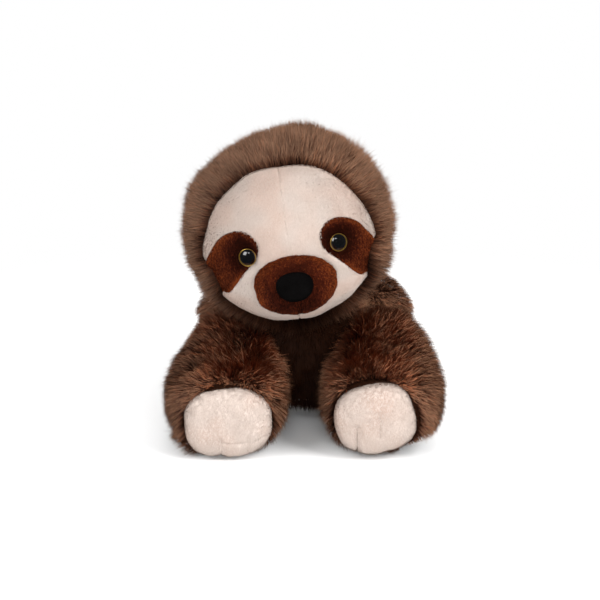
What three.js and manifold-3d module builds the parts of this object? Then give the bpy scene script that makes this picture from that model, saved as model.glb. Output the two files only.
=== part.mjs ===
// A plush sloth lying on its belly, arms stretched forward, built from its sewn and stuffed pieces.
// Millimetres, +Z up. The toy faces -Y, and its own left side is +X.
// The origin lies on the floor, on the flat of the belly below the shoulders.

import * as THREE from 'three';
import { mergeVertices } from 'three/addons/utils/BufferGeometryUtils.js';
import Module from 'manifold-3d';

const wasm = await Module();
wasm.setup();

const DEGREE = Math.PI / 180;
const UP = new THREE.Vector3(0, 0, 1);

// Shared values. The fur cloth is as thick as its combed pile, and thinner where two pieces press together.
// The short plush is the cloth of face and pads.
const furThickness = 13;
const furPressed = 4;
const plushThickness = 3.2;
const gap = 0.3;
const fillGap = 0.7;
const cutOverrun = 40;
const floorFlat = 0.5;
const restingShare = 0.93;

// Head: a ball of fur with a plush mask let into its front. The tips of the fur stand out past the mask.
const headCentre = new THREE.Vector3(-13, -36, 149);
const maskRadius = 67.8;
const furOverMask = 8.7;
const headRadius = maskRadius + furOverMask;
const facePitch = 12.5 * DEGREE;
const faceRoll = 8 * DEGREE;
const chinWrap = 2;

// Where the fur of the crown lies flatter than a true ball, in the head's frame: the way out through the middle
// of the hollow, the cosine at which it starts, and its depth.
const crownHollows = [
  { way: new THREE.Vector3(-0.51, -0.266, 0.818), startShare: 0.7, depth: 8 },
  { way: new THREE.Vector3(0.802, -0.246, 0.544), startShare: 0.85, depth: 1.5 },
];

// Half outlines of the mask and of one eye patch, seen square on, as shares of the mask's radius.
const maskOutlineShares = [
  [0, 0.605], [0.19, 0.6], [0.34, 0.56], [0.47, 0.49], [0.6, 0.385], [0.7, 0.27],
  [0.78, 0.16], [0.84, 0.04], [0.885, -0.08], [0.905, -0.18], [0.88, -0.26], [0.83, -0.34],
  [0.8, -0.46], [0.775, -0.58], [0.76, -0.68], [0.7, -0.82], [0.58, -0.98], [0.36, -1.1], [0, -1.14],
];
const eyePatchShares = [
  [0.56, 0.025], [0.66, 0], [0.745, -0.055], [0.81, -0.13], [0.87, -0.2], [0.92, -0.3],
  [0.9, -0.42], [0.84, -0.54], [0.76, -0.6], [0.69, -0.6], [0.62, -0.54], [0.555, -0.475],
  [0.5, -0.42], [0.43, -0.36], [0.36, -0.29], [0.325, -0.2], [0.335, -0.11], [0.39, -0.03], [0.47, 0.015],
];
const cheekSeamShare = -0.335;

// Muzzle and nose.
const muzzleCentre = new THREE.Vector3(1, -52, -40.5);
const muzzleHalfWidth = 28.3;
const muzzleReach = 24;
const muzzleHalfHeight = 20.5;
const noseHalfWidth = 12.6;
const noseHalfHeight = 10.2;
const noseThickness = 5;
const noseDrop = 1.2;

// Safety eyes: a domed button with a stem, a metal ring round it, and a washer behind the cloth.
const eyeRadius = 5.6;
const eyeHeight = 3.8;
const eyeStemRadius = 1.6;
const eyeStemReach = 4;
const eyeRingWidth = 0.75;
const eyeRingHeight = 1.4;
const eyeWasherRadius = 6.5;
const eyeWasherThickness = 1.2;
const eyeLeftSide = 33;
const eyeRightSide = 28.4;
const eyeDrop = 17;

// Neck: the ladder stitch that closes the head on to the body, round an axis through the head's centre.
const neckLean = 15 * DEGREE;
const neckSway = 3 * DEGREE;
const neckSeamRadius = 20;
const neckThreadRadius = 0.6;

// How square the cross sections of torso and limbs are: 2 is an ellipse.
const torsoSquareness = 2.4;
const limbSquareness = 2.5;

// Torso: its ends, and half sizes at even steps between them as shares of its largest half width and height.
const torsoFront = -45;
const torsoBack = 137;
const torsoHalfWidth = 66;
const torsoHalfHeight = 52;
const torsoWidthShares = [0.74, 0.87, 0.95, 0.99, 1, 1];
const torsoHeightShares = [0.95, 1.01, 0.965, 0.925, 0.89, 0.88];

// Arms. Sides are distances from the middle, and each arm has its own, as it was laid down.
const shoulderSide = 50;
const shoulderBack = 22;
const shoulderHeight = 70;
const shoulderRadius = 34;
const elbowLeftSide = 52;
const elbowRightSide = 49;
const elbowFront = 2;
const elbowHeight = 42;
const forearmSide = 56;
const forearmFront = 52;
const pawFront = 115;
const pawLeftSide = 50.5;
const pawRightSide = 54;
const armHalfWidth = 45;
const armHalfHeight = 43;
const armWidthShares = [0.8, 0.83, 0.88, 0.96, 1, 0.98, 0.95];
const armHeightShares = [0.9, 0.98, 0.99, 0.9, 0.82, 0.78, 0.76];

// Paw pads with their two toe stitches. A pad bulges out of the end of its sleeve.
const padHalfWidth = 30;
const padHalfHeight = 26;
const padHalfDepth = 14;
const padBulge = 4.5;
const padBack = 10;
const padLeftSide = 48.5;
const padRightSide = 53.5;
const padLeftHeight = 29;
const padRightHeight = 26.6;
const padLeftTurn = -5 * DEGREE;
const padRightTurn = 1 * DEGREE;
const stitchRadius = 0.6;
const stitchInnerSide = 14;
const stitchOuterSide = 4.6;
const stitchTop = 3;
const stitchBottom = 19;

// Hind legs, stretched back on the floor.
const hipSide = 38;
const hipBack = 100;
const hipHeight = 36;
const hipRadius = 33;
const footSide = 47;
const footBack = 190;
const legHalfWidth = 36;
const legHalfHeight = 34;
const legWidthShares = [0.9, 0.95, 0.96, 0.93, 0.9];
const legHeightShares = [0.95, 0.97, 0.94, 0.92, 0.92];
const soleHalfWidth = 24;
const soleHalfHeight = 22;
const soleHalfDepth = 13;
const soleBulge = 5;
const soleBack = 9;
const soleHeight = 30;

const furMaterial = () => new THREE.MeshStandardMaterial({ color: 0x5d4235, roughness: 0.95, metalness: 0 });
const plushMaterial = () => new THREE.MeshStandardMaterial({ color: 0xe6d0c6, roughness: 0.9, metalness: 0 });
const rustMaterial = () => new THREE.MeshStandardMaterial({ color: 0x6a3520, roughness: 0.9, metalness: 0 });
const noseMaterial = () => new THREE.MeshStandardMaterial({ color: 0x16110f, roughness: 0.85, metalness: 0 });
const eyeMaterial = () => new THREE.MeshStandardMaterial({ color: 0x0a0a0c, roughness: 0.08, metalness: 0 });
const ringMaterial = () => new THREE.MeshStandardMaterial({ color: 0xc8a14e, roughness: 0.3, metalness: 0.9 });
const washerMaterial = () => new THREE.MeshStandardMaterial({ color: 0xe8e8e4, roughness: 0.6, metalness: 0 });
const fillMaterial = () => new THREE.MeshStandardMaterial({ color: 0xf3f1ec, roughness: 1, metalness: 0 });
const stitchMaterial = () => new THREE.MeshStandardMaterial({ color: 0xcbb3a8, roughness: 0.8, metalness: 0 });
const threadMaterial = () => new THREE.MeshStandardMaterial({ color: 0x4a3328, roughness: 0.8, metalness: 0 });

// Turns a closed geometry into a solid that can be joined and cut.
function solidFrom(geometry) {
  const bare = geometry.index ? geometry.toNonIndexed() : geometry.clone();
  bare.deleteAttribute('normal');
  bare.deleteAttribute('uv');
  const merged = mergeVertices(bare);
  return new wasm.Manifold(new wasm.Mesh({
    numProp: 3,
    vertProperties: Float32Array.from(merged.attributes.position.array),
    triVerts: Uint32Array.from(merged.index.array),
  }));
}

// Turns a solid back into a geometry whose positions are measured from the point given.
function geometryFrom(solid, from = new THREE.Vector3()) {
  const cut = solid.getMesh();
  const geometry = new THREE.BufferGeometry();
  geometry.setAttribute('position', new THREE.BufferAttribute(Float32Array.from(cut.vertProperties), 3));
  geometry.setIndex(new THREE.BufferAttribute(Uint32Array.from(cut.triVerts), 1));
  geometry.translate(-from.x, -from.y, -from.z);
  geometry.computeVertexNormals();
  return geometry;
}

// A named mesh in its group, with its shape measured from the group's own origin.
function addPiece(group, name, solid, material, from) {
  const mesh = new THREE.Mesh(geometryFrom(solid, from), material);
  mesh.name = name;
  group.add(mesh);
  return mesh;
}

// A ball, or with three half sizes an egg, whose corners lie on the true surface.
function egg(centre, halfX, halfY, halfZ, detail) {
  const geometry = new THREE.IcosahedronGeometry(1, detail);
  geometry.scale(halfX, halfY, halfZ);
  geometry.translate(centre.x, centre.y, centre.z);
  return solidFrom(geometry);
}

function ball(centre, radius, detail) {
  return egg(centre, radius, radius, radius, detail);
}

// A ball for cutting, whose flat facets all lie at or beyond the radius, so that what turns in it stays clear.
function pocket(centre, radius, detail) {
  const geometry = new THREE.IcosahedronGeometry(1, detail);
  const corners = geometry.attributes.position;
  const facet = new THREE.Plane();
  const [a, b, c] = [new THREE.Vector3(), new THREE.Vector3(), new THREE.Vector3()];
  let nearest = 1;
  for (let i = 0; i < corners.count; i += 3) {
    facet.setFromCoplanarPoints(
      a.fromBufferAttribute(corners, i),
      b.fromBufferAttribute(corners, i + 1),
      c.fromBufferAttribute(corners, i + 2),
    );
    nearest = Math.min(nearest, Math.abs(facet.constant));
  }
  return ball(centre, radius / nearest, detail);
}

// The head's outer ball, drawn in where the crown lies flat.
function crownBall(detail) {
  const geometry = new THREE.IcosahedronGeometry(headRadius, detail);
  const corners = geometry.attributes.position;
  const corner = new THREE.Vector3();
  for (let i = 0; i < corners.count; i += 1) {
    corner.fromBufferAttribute(corners, i);
    const drop = crownHollows.reduce((sum, hollow) => {
      const nearShare = corner.dot(hollow.way) / headRadius;
      return sum + hollow.depth * THREE.MathUtils.smoothstep(nearShare, hollow.startShare, 1);
    }, 0);
    corner.setLength(headRadius - drop);
    corners.setXYZ(i, corner.x, corner.y, corner.z);
  }
  return solidFrom(geometry);
}

// A box given by its two opposite corners.
function block(low, high) {
  const size = new THREE.Vector3().subVectors(high, low);
  const geometry = new THREE.BoxGeometry(size.x, size.y, size.z);
  geometry.translate(low.x + size.x / 2, low.y + size.y / 2, low.z + size.z / 2);
  return solidFrom(geometry);
}

// Everything below the floor, which flattens what lies on it.
function belowFloor() {
  const reach = footBack + pawFront;
  return block(new THREE.Vector3(-reach, -reach, -cutOverrun), new THREE.Vector3(reach, reach, 0));
}

// The value of a table of evenly spaced entries at a share of its length, along a smooth curve.
function tableValue(shares, along) {
  const curve = new THREE.SplineCurve(shares.map((share, i) => new THREE.Vector2(i, share)));
  return curve.getPoint(along).y;
}

// The cosine or sine of a superellipse.
const squared = (value, square) => Math.sign(value) * Math.abs(value) ** (2 / square);

// How full a swollen body is at a share of its length: 1 in the middle, drawn in to 0 at both ends
// by a superellipse. The larger the bluntness, the flatter that end.
function fullness(along, blunt) {
  const power = along < 1 / 2 ? blunt[0] : blunt[1];
  return (1 - Math.abs(2 * along - 1) ** power) ** (1 / power);
}

// A path lifted where it runs low, so that a body of these half heights lies on the floor along it,
// pressed flat by a fixed depth, and leaves the floor where its ends draw in further than the resting share.
function restingPath(points, halfHeight, heightShares, blunt) {
  const path = new THREE.CatmullRomCurve3(points);
  const steps = 12;
  const lifted = path.getSpacedPoints(steps).map((point, i) => {
    const full = Math.max(fullness(i / steps, blunt), restingShare);
    const lowest = halfHeight * tableValue(heightShares, i / steps) * full - floorFlat;
    return new THREE.Vector3(point.x, point.y, Math.max(point.z, lowest));
  });
  return new THREE.CatmullRomCurve3(lifted);
}

// A closed body that swells and tapers along a path through the points, its rings drawn in to a point at
// both ends. The inset draws the whole body in by one distance.
function swollenBody({ points, halfWidth, halfHeight, widthShares, heightShares, blunt, square, rings, sides, inset }) {
  const path = restingPath(points, halfHeight, heightShares, blunt);
  const positions = [];
  const indices = [];
  const length = path.getLength();
  const place = (along) => {
    const wanted = inset + along * (length - 2 * inset);
    const share = THREE.MathUtils.clamp(wanted / length, 0, 1);
    const tangent = path.getTangentAt(share);
    const centre = path.getPointAt(share).addScaledVector(tangent, wanted - share * length);
    return { centre, tangent, share };
  };
  positions.push(...place(0).centre.toArray());
  for (let i = 1; i < rings; i += 1) {
    const along = (1 - Math.cos((Math.PI * i) / rings)) / 2;
    const { centre, tangent, share } = place(along);
    const full = fullness(along, blunt);
    const side = new THREE.Vector3().crossVectors(UP, tangent).normalize();
    const over = new THREE.Vector3().crossVectors(tangent, side);
    const a = (halfWidth * tableValue(widthShares, share) - inset) * full;
    const b = (halfHeight * tableValue(heightShares, share) - inset) * full;
    for (let j = 0; j < sides; j += 1) {
      const angle = (2 * Math.PI * j) / sides;
      const point = centre.clone()
        .addScaledVector(side, a * squared(Math.cos(angle), square))
        .addScaledVector(over, b * squared(Math.sin(angle), square));
      positions.push(...point.toArray());
    }
  }
  positions.push(...place(1).centre.toArray());
  const last = positions.length / 3 - 1;
  for (let j = 0; j < sides; j += 1) {
    const next = (j + 1) % sides;
    indices.push(0, 1 + next, 1 + j);
    for (let i = 0; i < rings - 2; i += 1) {
      const near = 1 + i * sides;
      const far = near + sides;
      indices.push(near + j, near + next, far + next, near + j, far + next, far + j);
    }
    indices.push(last, last - sides + j, last - sides + next);
  }
  const geometry = new THREE.BufferGeometry();
  geometry.setAttribute('position', new THREE.Float32BufferAttribute(positions, 3));
  geometry.setIndex(indices);
  return solidFrom(geometry);
}

// A ring or disc turned about the Y axis from a profile of [radius, height] points that closes on itself.
function turned(profile, segments) {
  const closed = [...profile, profile[0]].map(([radius, height]) => new THREE.Vector2(radius, height));
  return new THREE.LatheGeometry(closed, segments);
}

// A solid made in its own frame and then placed.
function placed(geometry, position, quaternion) {
  geometry.applyQuaternion(quaternion);
  geometry.translate(position.x, position.y, position.z);
  return solidFrom(geometry);
}

// Closed outline through the points, drawn smooth and moved outward by the distance given.
function smoothOutline(points, grow, steps) {
  const curve = new THREE.CatmullRomCurve3(points.map(([x, z]) => new THREE.Vector3(x, z, 0)), true);
  const drawn = curve.getPoints(steps).slice(0, -1);
  return drawn.map((point, i) => {
    const before = drawn[(i + drawn.length - 1) % drawn.length];
    const after = drawn[(i + 1) % drawn.length];
    const along = new THREE.Vector2(after.x - before.x, after.y - before.y).normalize();
    return new THREE.Vector2(point.x - along.y * grow, point.y + along.x * grow);
  });
}

// A block of an outline's shape, from the head's middle plane out through the front of the face.
function facePrism(points, grow, steps) {
  const outline = smoothOutline(points, grow, steps);
  const geometry = new THREE.ExtrudeGeometry(new THREE.Shape(outline), {
    depth: headRadius + cutOverrun,
    bevelEnabled: false,
  });
  geometry.rotateX(90 * DEGREE);
  geometry.translate(0, -chinWrap, 0);
  return solidFrom(geometry);
}

// The whole mask's outline, clockwise from the top as the viewer sees it.
function maskPoints() {
  const left = maskOutlineShares.map(([x, z]) => [x * maskRadius, z * maskRadius]);
  const right = left.slice(1, -1).reverse().map(([x, z]) => [-x, z]);
  return [...left, ...right];
}

// One eye patch's outline, clockwise too, with side 1 for the toy's left eye and -1 for its right.
function eyePatchPoints(side) {
  const points = eyePatchShares.map(([x, z]) => [side * x * maskRadius, z * maskRadius]);
  return side > 0 ? points : points.reverse();
}

// Where one eye sits on the mask, in the head's frame, and the turn that makes +Y point out of the cloth.
function eyeSeat(side) {
  const across = side > 0 ? eyeLeftSide : -eyeRightSide;
  const depth = Math.sqrt(maskRadius ** 2 - across ** 2 - eyeDrop ** 2);
  const outward = new THREE.Vector3(across, -depth, -eyeDrop).normalize();
  return {
    position: outward.clone().multiplyScalar(maskRadius + gap),
    quaternion: new THREE.Quaternion().setFromUnitVectors(new THREE.Vector3(0, 1, 0), outward),
  };
}

// The muzzle's egg, grown or drawn in by the distance given.
function muzzleEgg(grow, detail) {
  return egg(muzzleCentre, muzzleHalfWidth + grow, muzzleReach + grow, muzzleHalfHeight + grow, detail);
}

// Eye button with its stem, one piece: domed front, flat back on the cloth, stem through to the washer.
function eyeProfile() {
  const dome = [];
  const steps = 4;
  for (let i = 0; i < steps; i += 1) {
    const angle = (90 * DEGREE * i) / steps;
    dome.push([eyeRadius * Math.cos(angle), eyeHeight * Math.sin(angle)]);
  }
  const stemEnd = -(plushThickness + eyeWasherThickness + eyeStemReach);
  return [[0, eyeHeight], [0, stemEnd], [eyeStemRadius, stemEnd], [eyeStemRadius, 0], ...dome];
}

function eyeRingProfile() {
  const inner = eyeRadius + gap;
  const outer = inner + eyeRingWidth;
  return [
    [inner, 0],
    [outer, 0],
    [outer, eyeRingHeight / 2],
    [inner + eyeRingWidth / 2, eyeRingHeight],
    [inner, eyeRingHeight / 2],
  ];
}

function eyeWasherProfile() {
  const top = -(plushThickness + 3 * gap);
  const bottom = top - eyeWasherThickness;
  const hole = eyeStemRadius + gap;
  return [[hole, bottom], [eyeWasherRadius, bottom], [eyeWasherRadius, top], [hole, top]];
}

// The room that an eye's washer and stem take up inside the head.
function eyeRoomProfile() {
  const top = plushThickness;
  const bottom = -(plushThickness + eyeWasherThickness + eyeStemReach + gap);
  return [[0, bottom], [eyeWasherRadius + gap, bottom], [eyeWasherRadius + gap, top], [0, top]];
}

// Head pieces in the head's own frame: centre at the origin, face towards -Y, crown towards +Z.
function headSolids() {
  const middle = new THREE.Vector3();
  const coreRadius = maskRadius - plushThickness;
  const maskBlock = facePrism(maskPoints(), 0, 54);
  const maskOpening = facePrism(maskPoints(), gap, 54);
  const maskShell = ball(middle, maskRadius, 5).subtract(pocket(middle, coreRadius, 3));
  const mask = maskShell.intersect(maskBlock).subtract(muzzleEgg(gap, 3));
  const patchOpenings = [1, -1].map((side) => facePrism(eyePatchPoints(side), gap, 28));
  const cream = mask.subtract(patchOpenings[0]).subtract(patchOpenings[1]);

  const reach = headRadius + cutOverrun;
  const seam = cheekSeamShare * maskRadius;
  const corner = (x, y, z) => new THREE.Vector3(x, y, z);
  const above = block(corner(-reach, -reach, seam + gap / 2), corner(reach, reach, reach));
  const below = block(corner(-reach, -reach, -reach), corner(reach, reach, seam - gap / 2));
  const toLeft = block(corner(gap / 2, -reach, -reach), corner(reach, reach, reach));
  const toRight = block(corner(-reach, -reach, -reach), corner(-gap / 2, reach, reach));

  const eyeRooms = [1, -1].map((side) => {
    const seat = eyeSeat(side);
    return placed(turned(eyeRoomProfile(), 12), seat.position, seat.quaternion);
  });
  const stemHoles = [1, -1].map((side) => {
    const seat = eyeSeat(side);
    const hole = eyeStemRadius + gap;
    const profile = [[0, -cutOverrun], [hole, -cutOverrun], [hole, cutOverrun], [0, cutOverrun]];
    return placed(turned(profile, 8), seat.position, seat.quaternion);
  });
  const patches = [1, -1].map((side, i) => mask
    .intersect(facePrism(eyePatchPoints(side), 0, 28))
    .subtract(stemHoles[i]));

  const muzzleSkin = muzzleEgg(0, 3)
    .subtract(muzzleEgg(-plushThickness, 2))
    .subtract(pocket(middle, coreRadius, 3));
  const noseCentre = muzzleCentre.clone().add(corner(0, -muzzleReach, -noseDrop));
  const nose = egg(noseCentre, noseHalfWidth, noseThickness, noseHalfHeight, 2).subtract(muzzleEgg(gap, 3));
  const stuffing = ball(middle, coreRadius - gap, 3)
    .add(muzzleEgg(-(plushThickness + gap), 2))
    .subtract(eyeRooms[0])
    .subtract(eyeRooms[1]);
  const skin = crownBall(5)
    .subtract(pocket(middle, coreRadius, 3))
    .subtract(maskOpening)
    .subtract(muzzleEgg(gap, 3));

  return {
    head_skin: [skin, furMaterial()],
    head_stuffing: [stuffing, fillMaterial()],
    forehead_left: [cream.intersect(above).intersect(toLeft), plushMaterial()],
    forehead_right: [cream.intersect(above).intersect(toRight), plushMaterial()],
    cheek_left: [cream.intersect(below).intersect(toLeft), plushMaterial()],
    cheek_right: [cream.intersect(below).intersect(toRight), plushMaterial()],
    eye_patch_left: [patches[0], rustMaterial()],
    eye_patch_right: [patches[1], rustMaterial()],
    muzzle: [muzzleSkin, rustMaterial()],
    nose: [nose, noseMaterial()],
  };
}

// The line from the head's centre down to the neck.
function neckDirection() {
  return new THREE.Vector3(
    Math.sin(neckSway),
    Math.sin(neckLean) * Math.cos(neckSway),
    -Math.cos(neckLean) * Math.cos(neckSway),
  );
}

// How far the neck's seam lies from the head's centre, just outside the head's fur.
function neckSeamDistance() {
  return headRadius + gap + neckThreadRadius;
}

// A profile turned about the neck's axis; its heights are measured from the head's centre.
function neckRing(profile, segments) {
  const turn = new THREE.Quaternion().setFromUnitVectors(new THREE.Vector3(0, 1, 0), neckDirection());
  return placed(turned(profile, segments), headCentre, turn);
}

function neckHeight() {
  return Math.sqrt(neckSeamDistance() ** 2 - neckSeamRadius ** 2);
}

function neckThreadSolid() {
  const profile = [];
  const sides = 5;
  for (let i = 0; i < sides; i += 1) {
    const angle = (-2 * Math.PI * i) / sides;
    profile.push([
      neckSeamRadius + neckThreadRadius * Math.cos(angle),
      neckHeight() - neckThreadRadius * Math.sin(angle),
    ]);
  }
  return neckRing(profile, 24);
}

// The groove in the torso that the neck's thread lies in, twice as wide as the thread.
function neckGroove() {
  const near = neckSeamRadius - 2 * neckThreadRadius;
  const far = neckSeamRadius + 2 * neckThreadRadius;
  const low = neckHeight() + 2 * neckThreadRadius;
  const high = neckHeight() - cutOverrun / 4;
  return neckRing([[near, high], [far, high], [far, low], [near, low]], 24);
}

function torsoForm(inset, rings, sides) {
  return swollenBody({
    points: [new THREE.Vector3(0, torsoFront, 0), new THREE.Vector3(0, torsoBack, 0)],
    halfWidth: torsoHalfWidth,
    halfHeight: torsoHalfHeight,
    widthShares: torsoWidthShares,
    heightShares: torsoHeightShares,
    blunt: [4, 3],
    square: torsoSquareness,
    rings,
    sides,
    inset,
  });
}

const shoulderPoint = (side) => new THREE.Vector3(side * shoulderSide, shoulderBack, shoulderHeight);
const hipPoint = (side) => new THREE.Vector3(side * hipSide, hipBack, hipHeight);

// What the head and the limbs take out of the torso.
function torsoCuts() {
  return [
    pocket(headCentre, headRadius + gap, 3),
    pocket(shoulderPoint(1), shoulderRadius + gap, 2),
    pocket(shoulderPoint(-1), shoulderRadius + gap, 2),
    pocket(hipPoint(1), hipRadius + gap, 2),
    pocket(hipPoint(-1), hipRadius + gap, 2),
  ];
}

const cutBy = (solid, cuts) => cuts.reduce((rest, cut) => rest.subtract(cut), solid);

function torsoSolids() {
  const cuts = torsoCuts();
  const core = torsoForm(furThickness, 7, 12);
  const skin = cutBy(torsoForm(0, 12, 16).subtract(core), [...cuts, neckGroove(), belowFloor()]);
  const stuffing = cutBy(torsoForm(furThickness + fillGap, 7, 12), [...cuts, neckGroove()]);
  return { torso_skin: [skin, furMaterial()], torso_stuffing: [stuffing, fillMaterial()] };
}

// The paw's end of one arm: where the pad sits and how far it turns.
function pawSeat(side) {
  const across = side > 0 ? padLeftSide : -padRightSide;
  const height = side > 0 ? padLeftHeight : padRightHeight;
  return {
    position: new THREE.Vector3(across, -(pawFront + padBulge - padHalfDepth), height),
    turn: side > 0 ? padLeftTurn : padRightTurn,
  };
}

function armForm(side, inset, rings, sides) {
  const elbow = side > 0 ? elbowLeftSide : -elbowRightSide;
  const paw = side > 0 ? pawLeftSide : -pawRightSide;
  return swollenBody({
    points: [
      shoulderPoint(side),
      new THREE.Vector3(elbow, -elbowFront, elbowHeight),
      new THREE.Vector3(side * forearmSide, -forearmFront, 0),
      new THREE.Vector3(paw, -pawFront, 0),
    ],
    halfWidth: armHalfWidth,
    halfHeight: armHalfHeight,
    widthShares: armWidthShares,
    heightShares: armHeightShares,
    blunt: [3.6, 5],
    square: limbSquareness,
    rings,
    sides,
    inset,
  });
}

// A pad's egg in the object's frame, grown or drawn in by the distance given.
function padEgg(seat, halfWidth, halfDepth, halfHeight, grow, detail) {
  const geometry = new THREE.IcosahedronGeometry(1, detail);
  geometry.scale(halfWidth + grow, halfDepth + grow, halfHeight + grow);
  geometry.rotateZ(seat.turn);
  geometry.translate(seat.position.x, seat.position.y, seat.position.z);
  return solidFrom(geometry);
}

// The way out of a sleeve for its pad, straight along the way the pad faces: 1 to the back, -1 to the front.
function padDoor(seat, halfWidth, halfHeight, facing) {
  const length = cutOverrun;
  const geometry = new THREE.CylinderGeometry(1, 1, 1, 20);
  geometry.scale(halfWidth + gap, length, halfHeight + gap);
  geometry.translate(0, (facing * length) / 2, 0);
  geometry.rotateZ(seat.turn);
  geometry.translate(seat.position.x, seat.position.y, seat.position.z);
  return solidFrom(geometry);
}

// A toe stitch drawn over the pad's front from its top to its bottom, at one distance from the pad's middle.
function toeStitch(seat, across) {
  const lift = gap + stitchRadius;
  const steps = 4;
  const points = [];
  for (let i = 0; i <= steps; i += 1) {
    const height = THREE.MathUtils.lerp(stitchTop, -stitchBottom, i / steps);
    const x = across / (padHalfWidth + lift);
    const z = height / (padHalfHeight + lift);
    const point = new THREE.Vector3(across, -(padHalfDepth + lift) * Math.sqrt(1 - x * x - z * z), height);
    point.applyAxisAngle(UP, seat.turn);
    points.push(point.add(seat.position));
  }
  const path = new THREE.CatmullRomCurve3(points);
  const positions = [];
  const across3 = new THREE.Vector3(1, 0, 0).applyAxisAngle(UP, seat.turn);
  const indices = [];
  const sides = 5;
  const rings = 6;
  for (let i = 0; i <= rings; i += 1) {
    const centre = path.getPointAt(i / rings);
    const outward = new THREE.Vector3().crossVectors(across3, path.getTangentAt(i / rings)).normalize();
    for (let j = 0; j < sides; j += 1) {
      const angle = (2 * Math.PI * j) / sides;
      const point = centre.clone()
        .addScaledVector(across3, stitchRadius * Math.cos(angle))
        .addScaledVector(outward, stitchRadius * Math.sin(angle));
      positions.push(...point.toArray());
    }
  }
  for (let j = 0; j < sides; j += 1) {
    const next = (j + 1) % sides;
    for (let i = 0; i < rings; i += 1) {
      const near = i * sides;
      const far = near + sides;
      indices.push(near + j, far + j, far + next, near + j, far + next, near + next);
    }
    if (j > 0 && next > 0) {
      indices.push(0, j, next, rings * sides, rings * sides + next, rings * sides + j);
    }
  }
  const geometry = new THREE.BufferGeometry();
  geometry.setAttribute('position', new THREE.Float32BufferAttribute(positions, 3));
  geometry.setIndex(indices);
  return solidFrom(geometry);
}

// One arm: fur sleeve cut by the head and the torso, its stuffing, the pad that closes it, two toe stitches.
// The room inside the sleeve is drawn in by the fur cloth's thickness and by the distance given.
function armSolids(side, name) {
  const seat = pawSeat(side);
  const shoulder = shoulderPoint(side);
  const headRoom = pocket(headCentre, headRadius + gap, 3);
  const torsoRoom = torsoForm(-gap, 12, 16);
  const pad = (grow, detail) => padEgg(seat, padHalfWidth, padHalfDepth, padHalfHeight, grow, detail);
  const behindPad = block(
    new THREE.Vector3(-pawFront, seat.position.y - padHalfDepth + padBack, -cutOverrun),
    new THREE.Vector3(pawFront, footBack, pawFront),
  );

  const sleeve = armForm(side, 0, 12, 16).subtract(torsoRoom).add(ball(shoulder, shoulderRadius, 2));
  const inside = (grow) => armForm(side, furThickness + grow, 8, 10)
    .subtract(torsoForm(-(gap + furPressed + grow), 8, 12)
      .subtract(ball(shoulder, shoulderRadius - furPressed - grow, 2)))
    .add(ball(shoulder, shoulderRadius - furThickness - grow, 1))
    .subtract(pocket(headCentre, headRadius + gap + furPressed + grow, 2));
  const stuffing = inside(fillGap).add(pad(-(plushThickness + gap), 2));
  const door = padDoor(seat, padHalfWidth, padHalfHeight, -1);
  const skin = cutBy(sleeve, [headRoom, inside(0), pad(gap, 2), door, belowFloor()]);
  const padSkin = pad(0, 2).subtract(pad(-plushThickness, 2)).subtract(behindPad);
  const stitches = [side * -stitchInnerSide, side * stitchOuterSide].map((across) => toeStitch(seat, across));

  return {
    [`arm_${name}_skin`]: [skin, furMaterial()],
    [`arm_${name}_stuffing`]: [stuffing, fillMaterial()],
    [`paw_pad_${name}`]: [padSkin, plushMaterial()],
    [`toe_stitch_${name}_inner`]: [stitches[0], stitchMaterial()],
    [`toe_stitch_${name}_outer`]: [stitches[1], stitchMaterial()],
  };
}

function legForm(side, inset, rings, sides) {
  return swollenBody({
    points: [
      new THREE.Vector3(side * hipSide, hipBack, 0),
      new THREE.Vector3(side * footSide, footBack, 0),
    ],
    halfWidth: legHalfWidth,
    halfHeight: legHalfHeight,
    widthShares: legWidthShares,
    heightShares: legHeightShares,
    blunt: [3.6, 3.4],
    square: limbSquareness,
    rings,
    sides,
    inset,
  });
}

// One hind leg: fur sleeve cut by the torso, its stuffing, and the sole that closes it at the back.
function legSolids(side, name) {
  const back = footBack + soleBulge - soleHalfDepth;
  const seat = { position: new THREE.Vector3(side * footSide, back, soleHeight), turn: 0 };
  const hip = hipPoint(side);
  const sole = (grow, detail) => padEgg(seat, soleHalfWidth, soleHalfDepth, soleHalfHeight, grow, detail);
  const beforeSole = block(
    new THREE.Vector3(-footBack, -pawFront, -cutOverrun),
    new THREE.Vector3(footBack, footBack + soleBulge - soleBack, footBack),
  );

  const sleeve = legForm(side, 0, 10, 16).subtract(torsoForm(-gap, 12, 16)).add(ball(hip, hipRadius, 2));
  const inside = (grow) => legForm(side, furThickness + grow, 8, 10)
    .subtract(torsoForm(-(gap + furPressed + grow), 8, 12)
      .subtract(ball(hip, hipRadius - furPressed - grow, 1)))
    .add(ball(hip, hipRadius - furThickness - grow, 1));
  const stuffing = inside(fillGap).add(sole(-(plushThickness + gap), 2));
  const door = padDoor(seat, soleHalfWidth, soleHalfHeight, 1);
  const skin = cutBy(sleeve, [inside(0), sole(gap, 2), door, belowFloor()]);
  const soleSkin = sole(0, 2).subtract(sole(-plushThickness, 2)).subtract(beforeSole);

  return {
    [`leg_${name}_skin`]: [skin, furMaterial()],
    [`leg_${name}_stuffing`]: [stuffing, fillMaterial()],
    [`foot_sole_${name}`]: [soleSkin, plushMaterial()],
  };
}

// A group at a joint's place, holding the pieces that move with it.
function bodyGroup(place, solids) {
  const group = new THREE.Group();
  group.position.copy(place);
  Object.entries(solids).forEach(([name, [solid, material]]) => addPiece(group, name, solid, material, place));
  return group;
}

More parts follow.
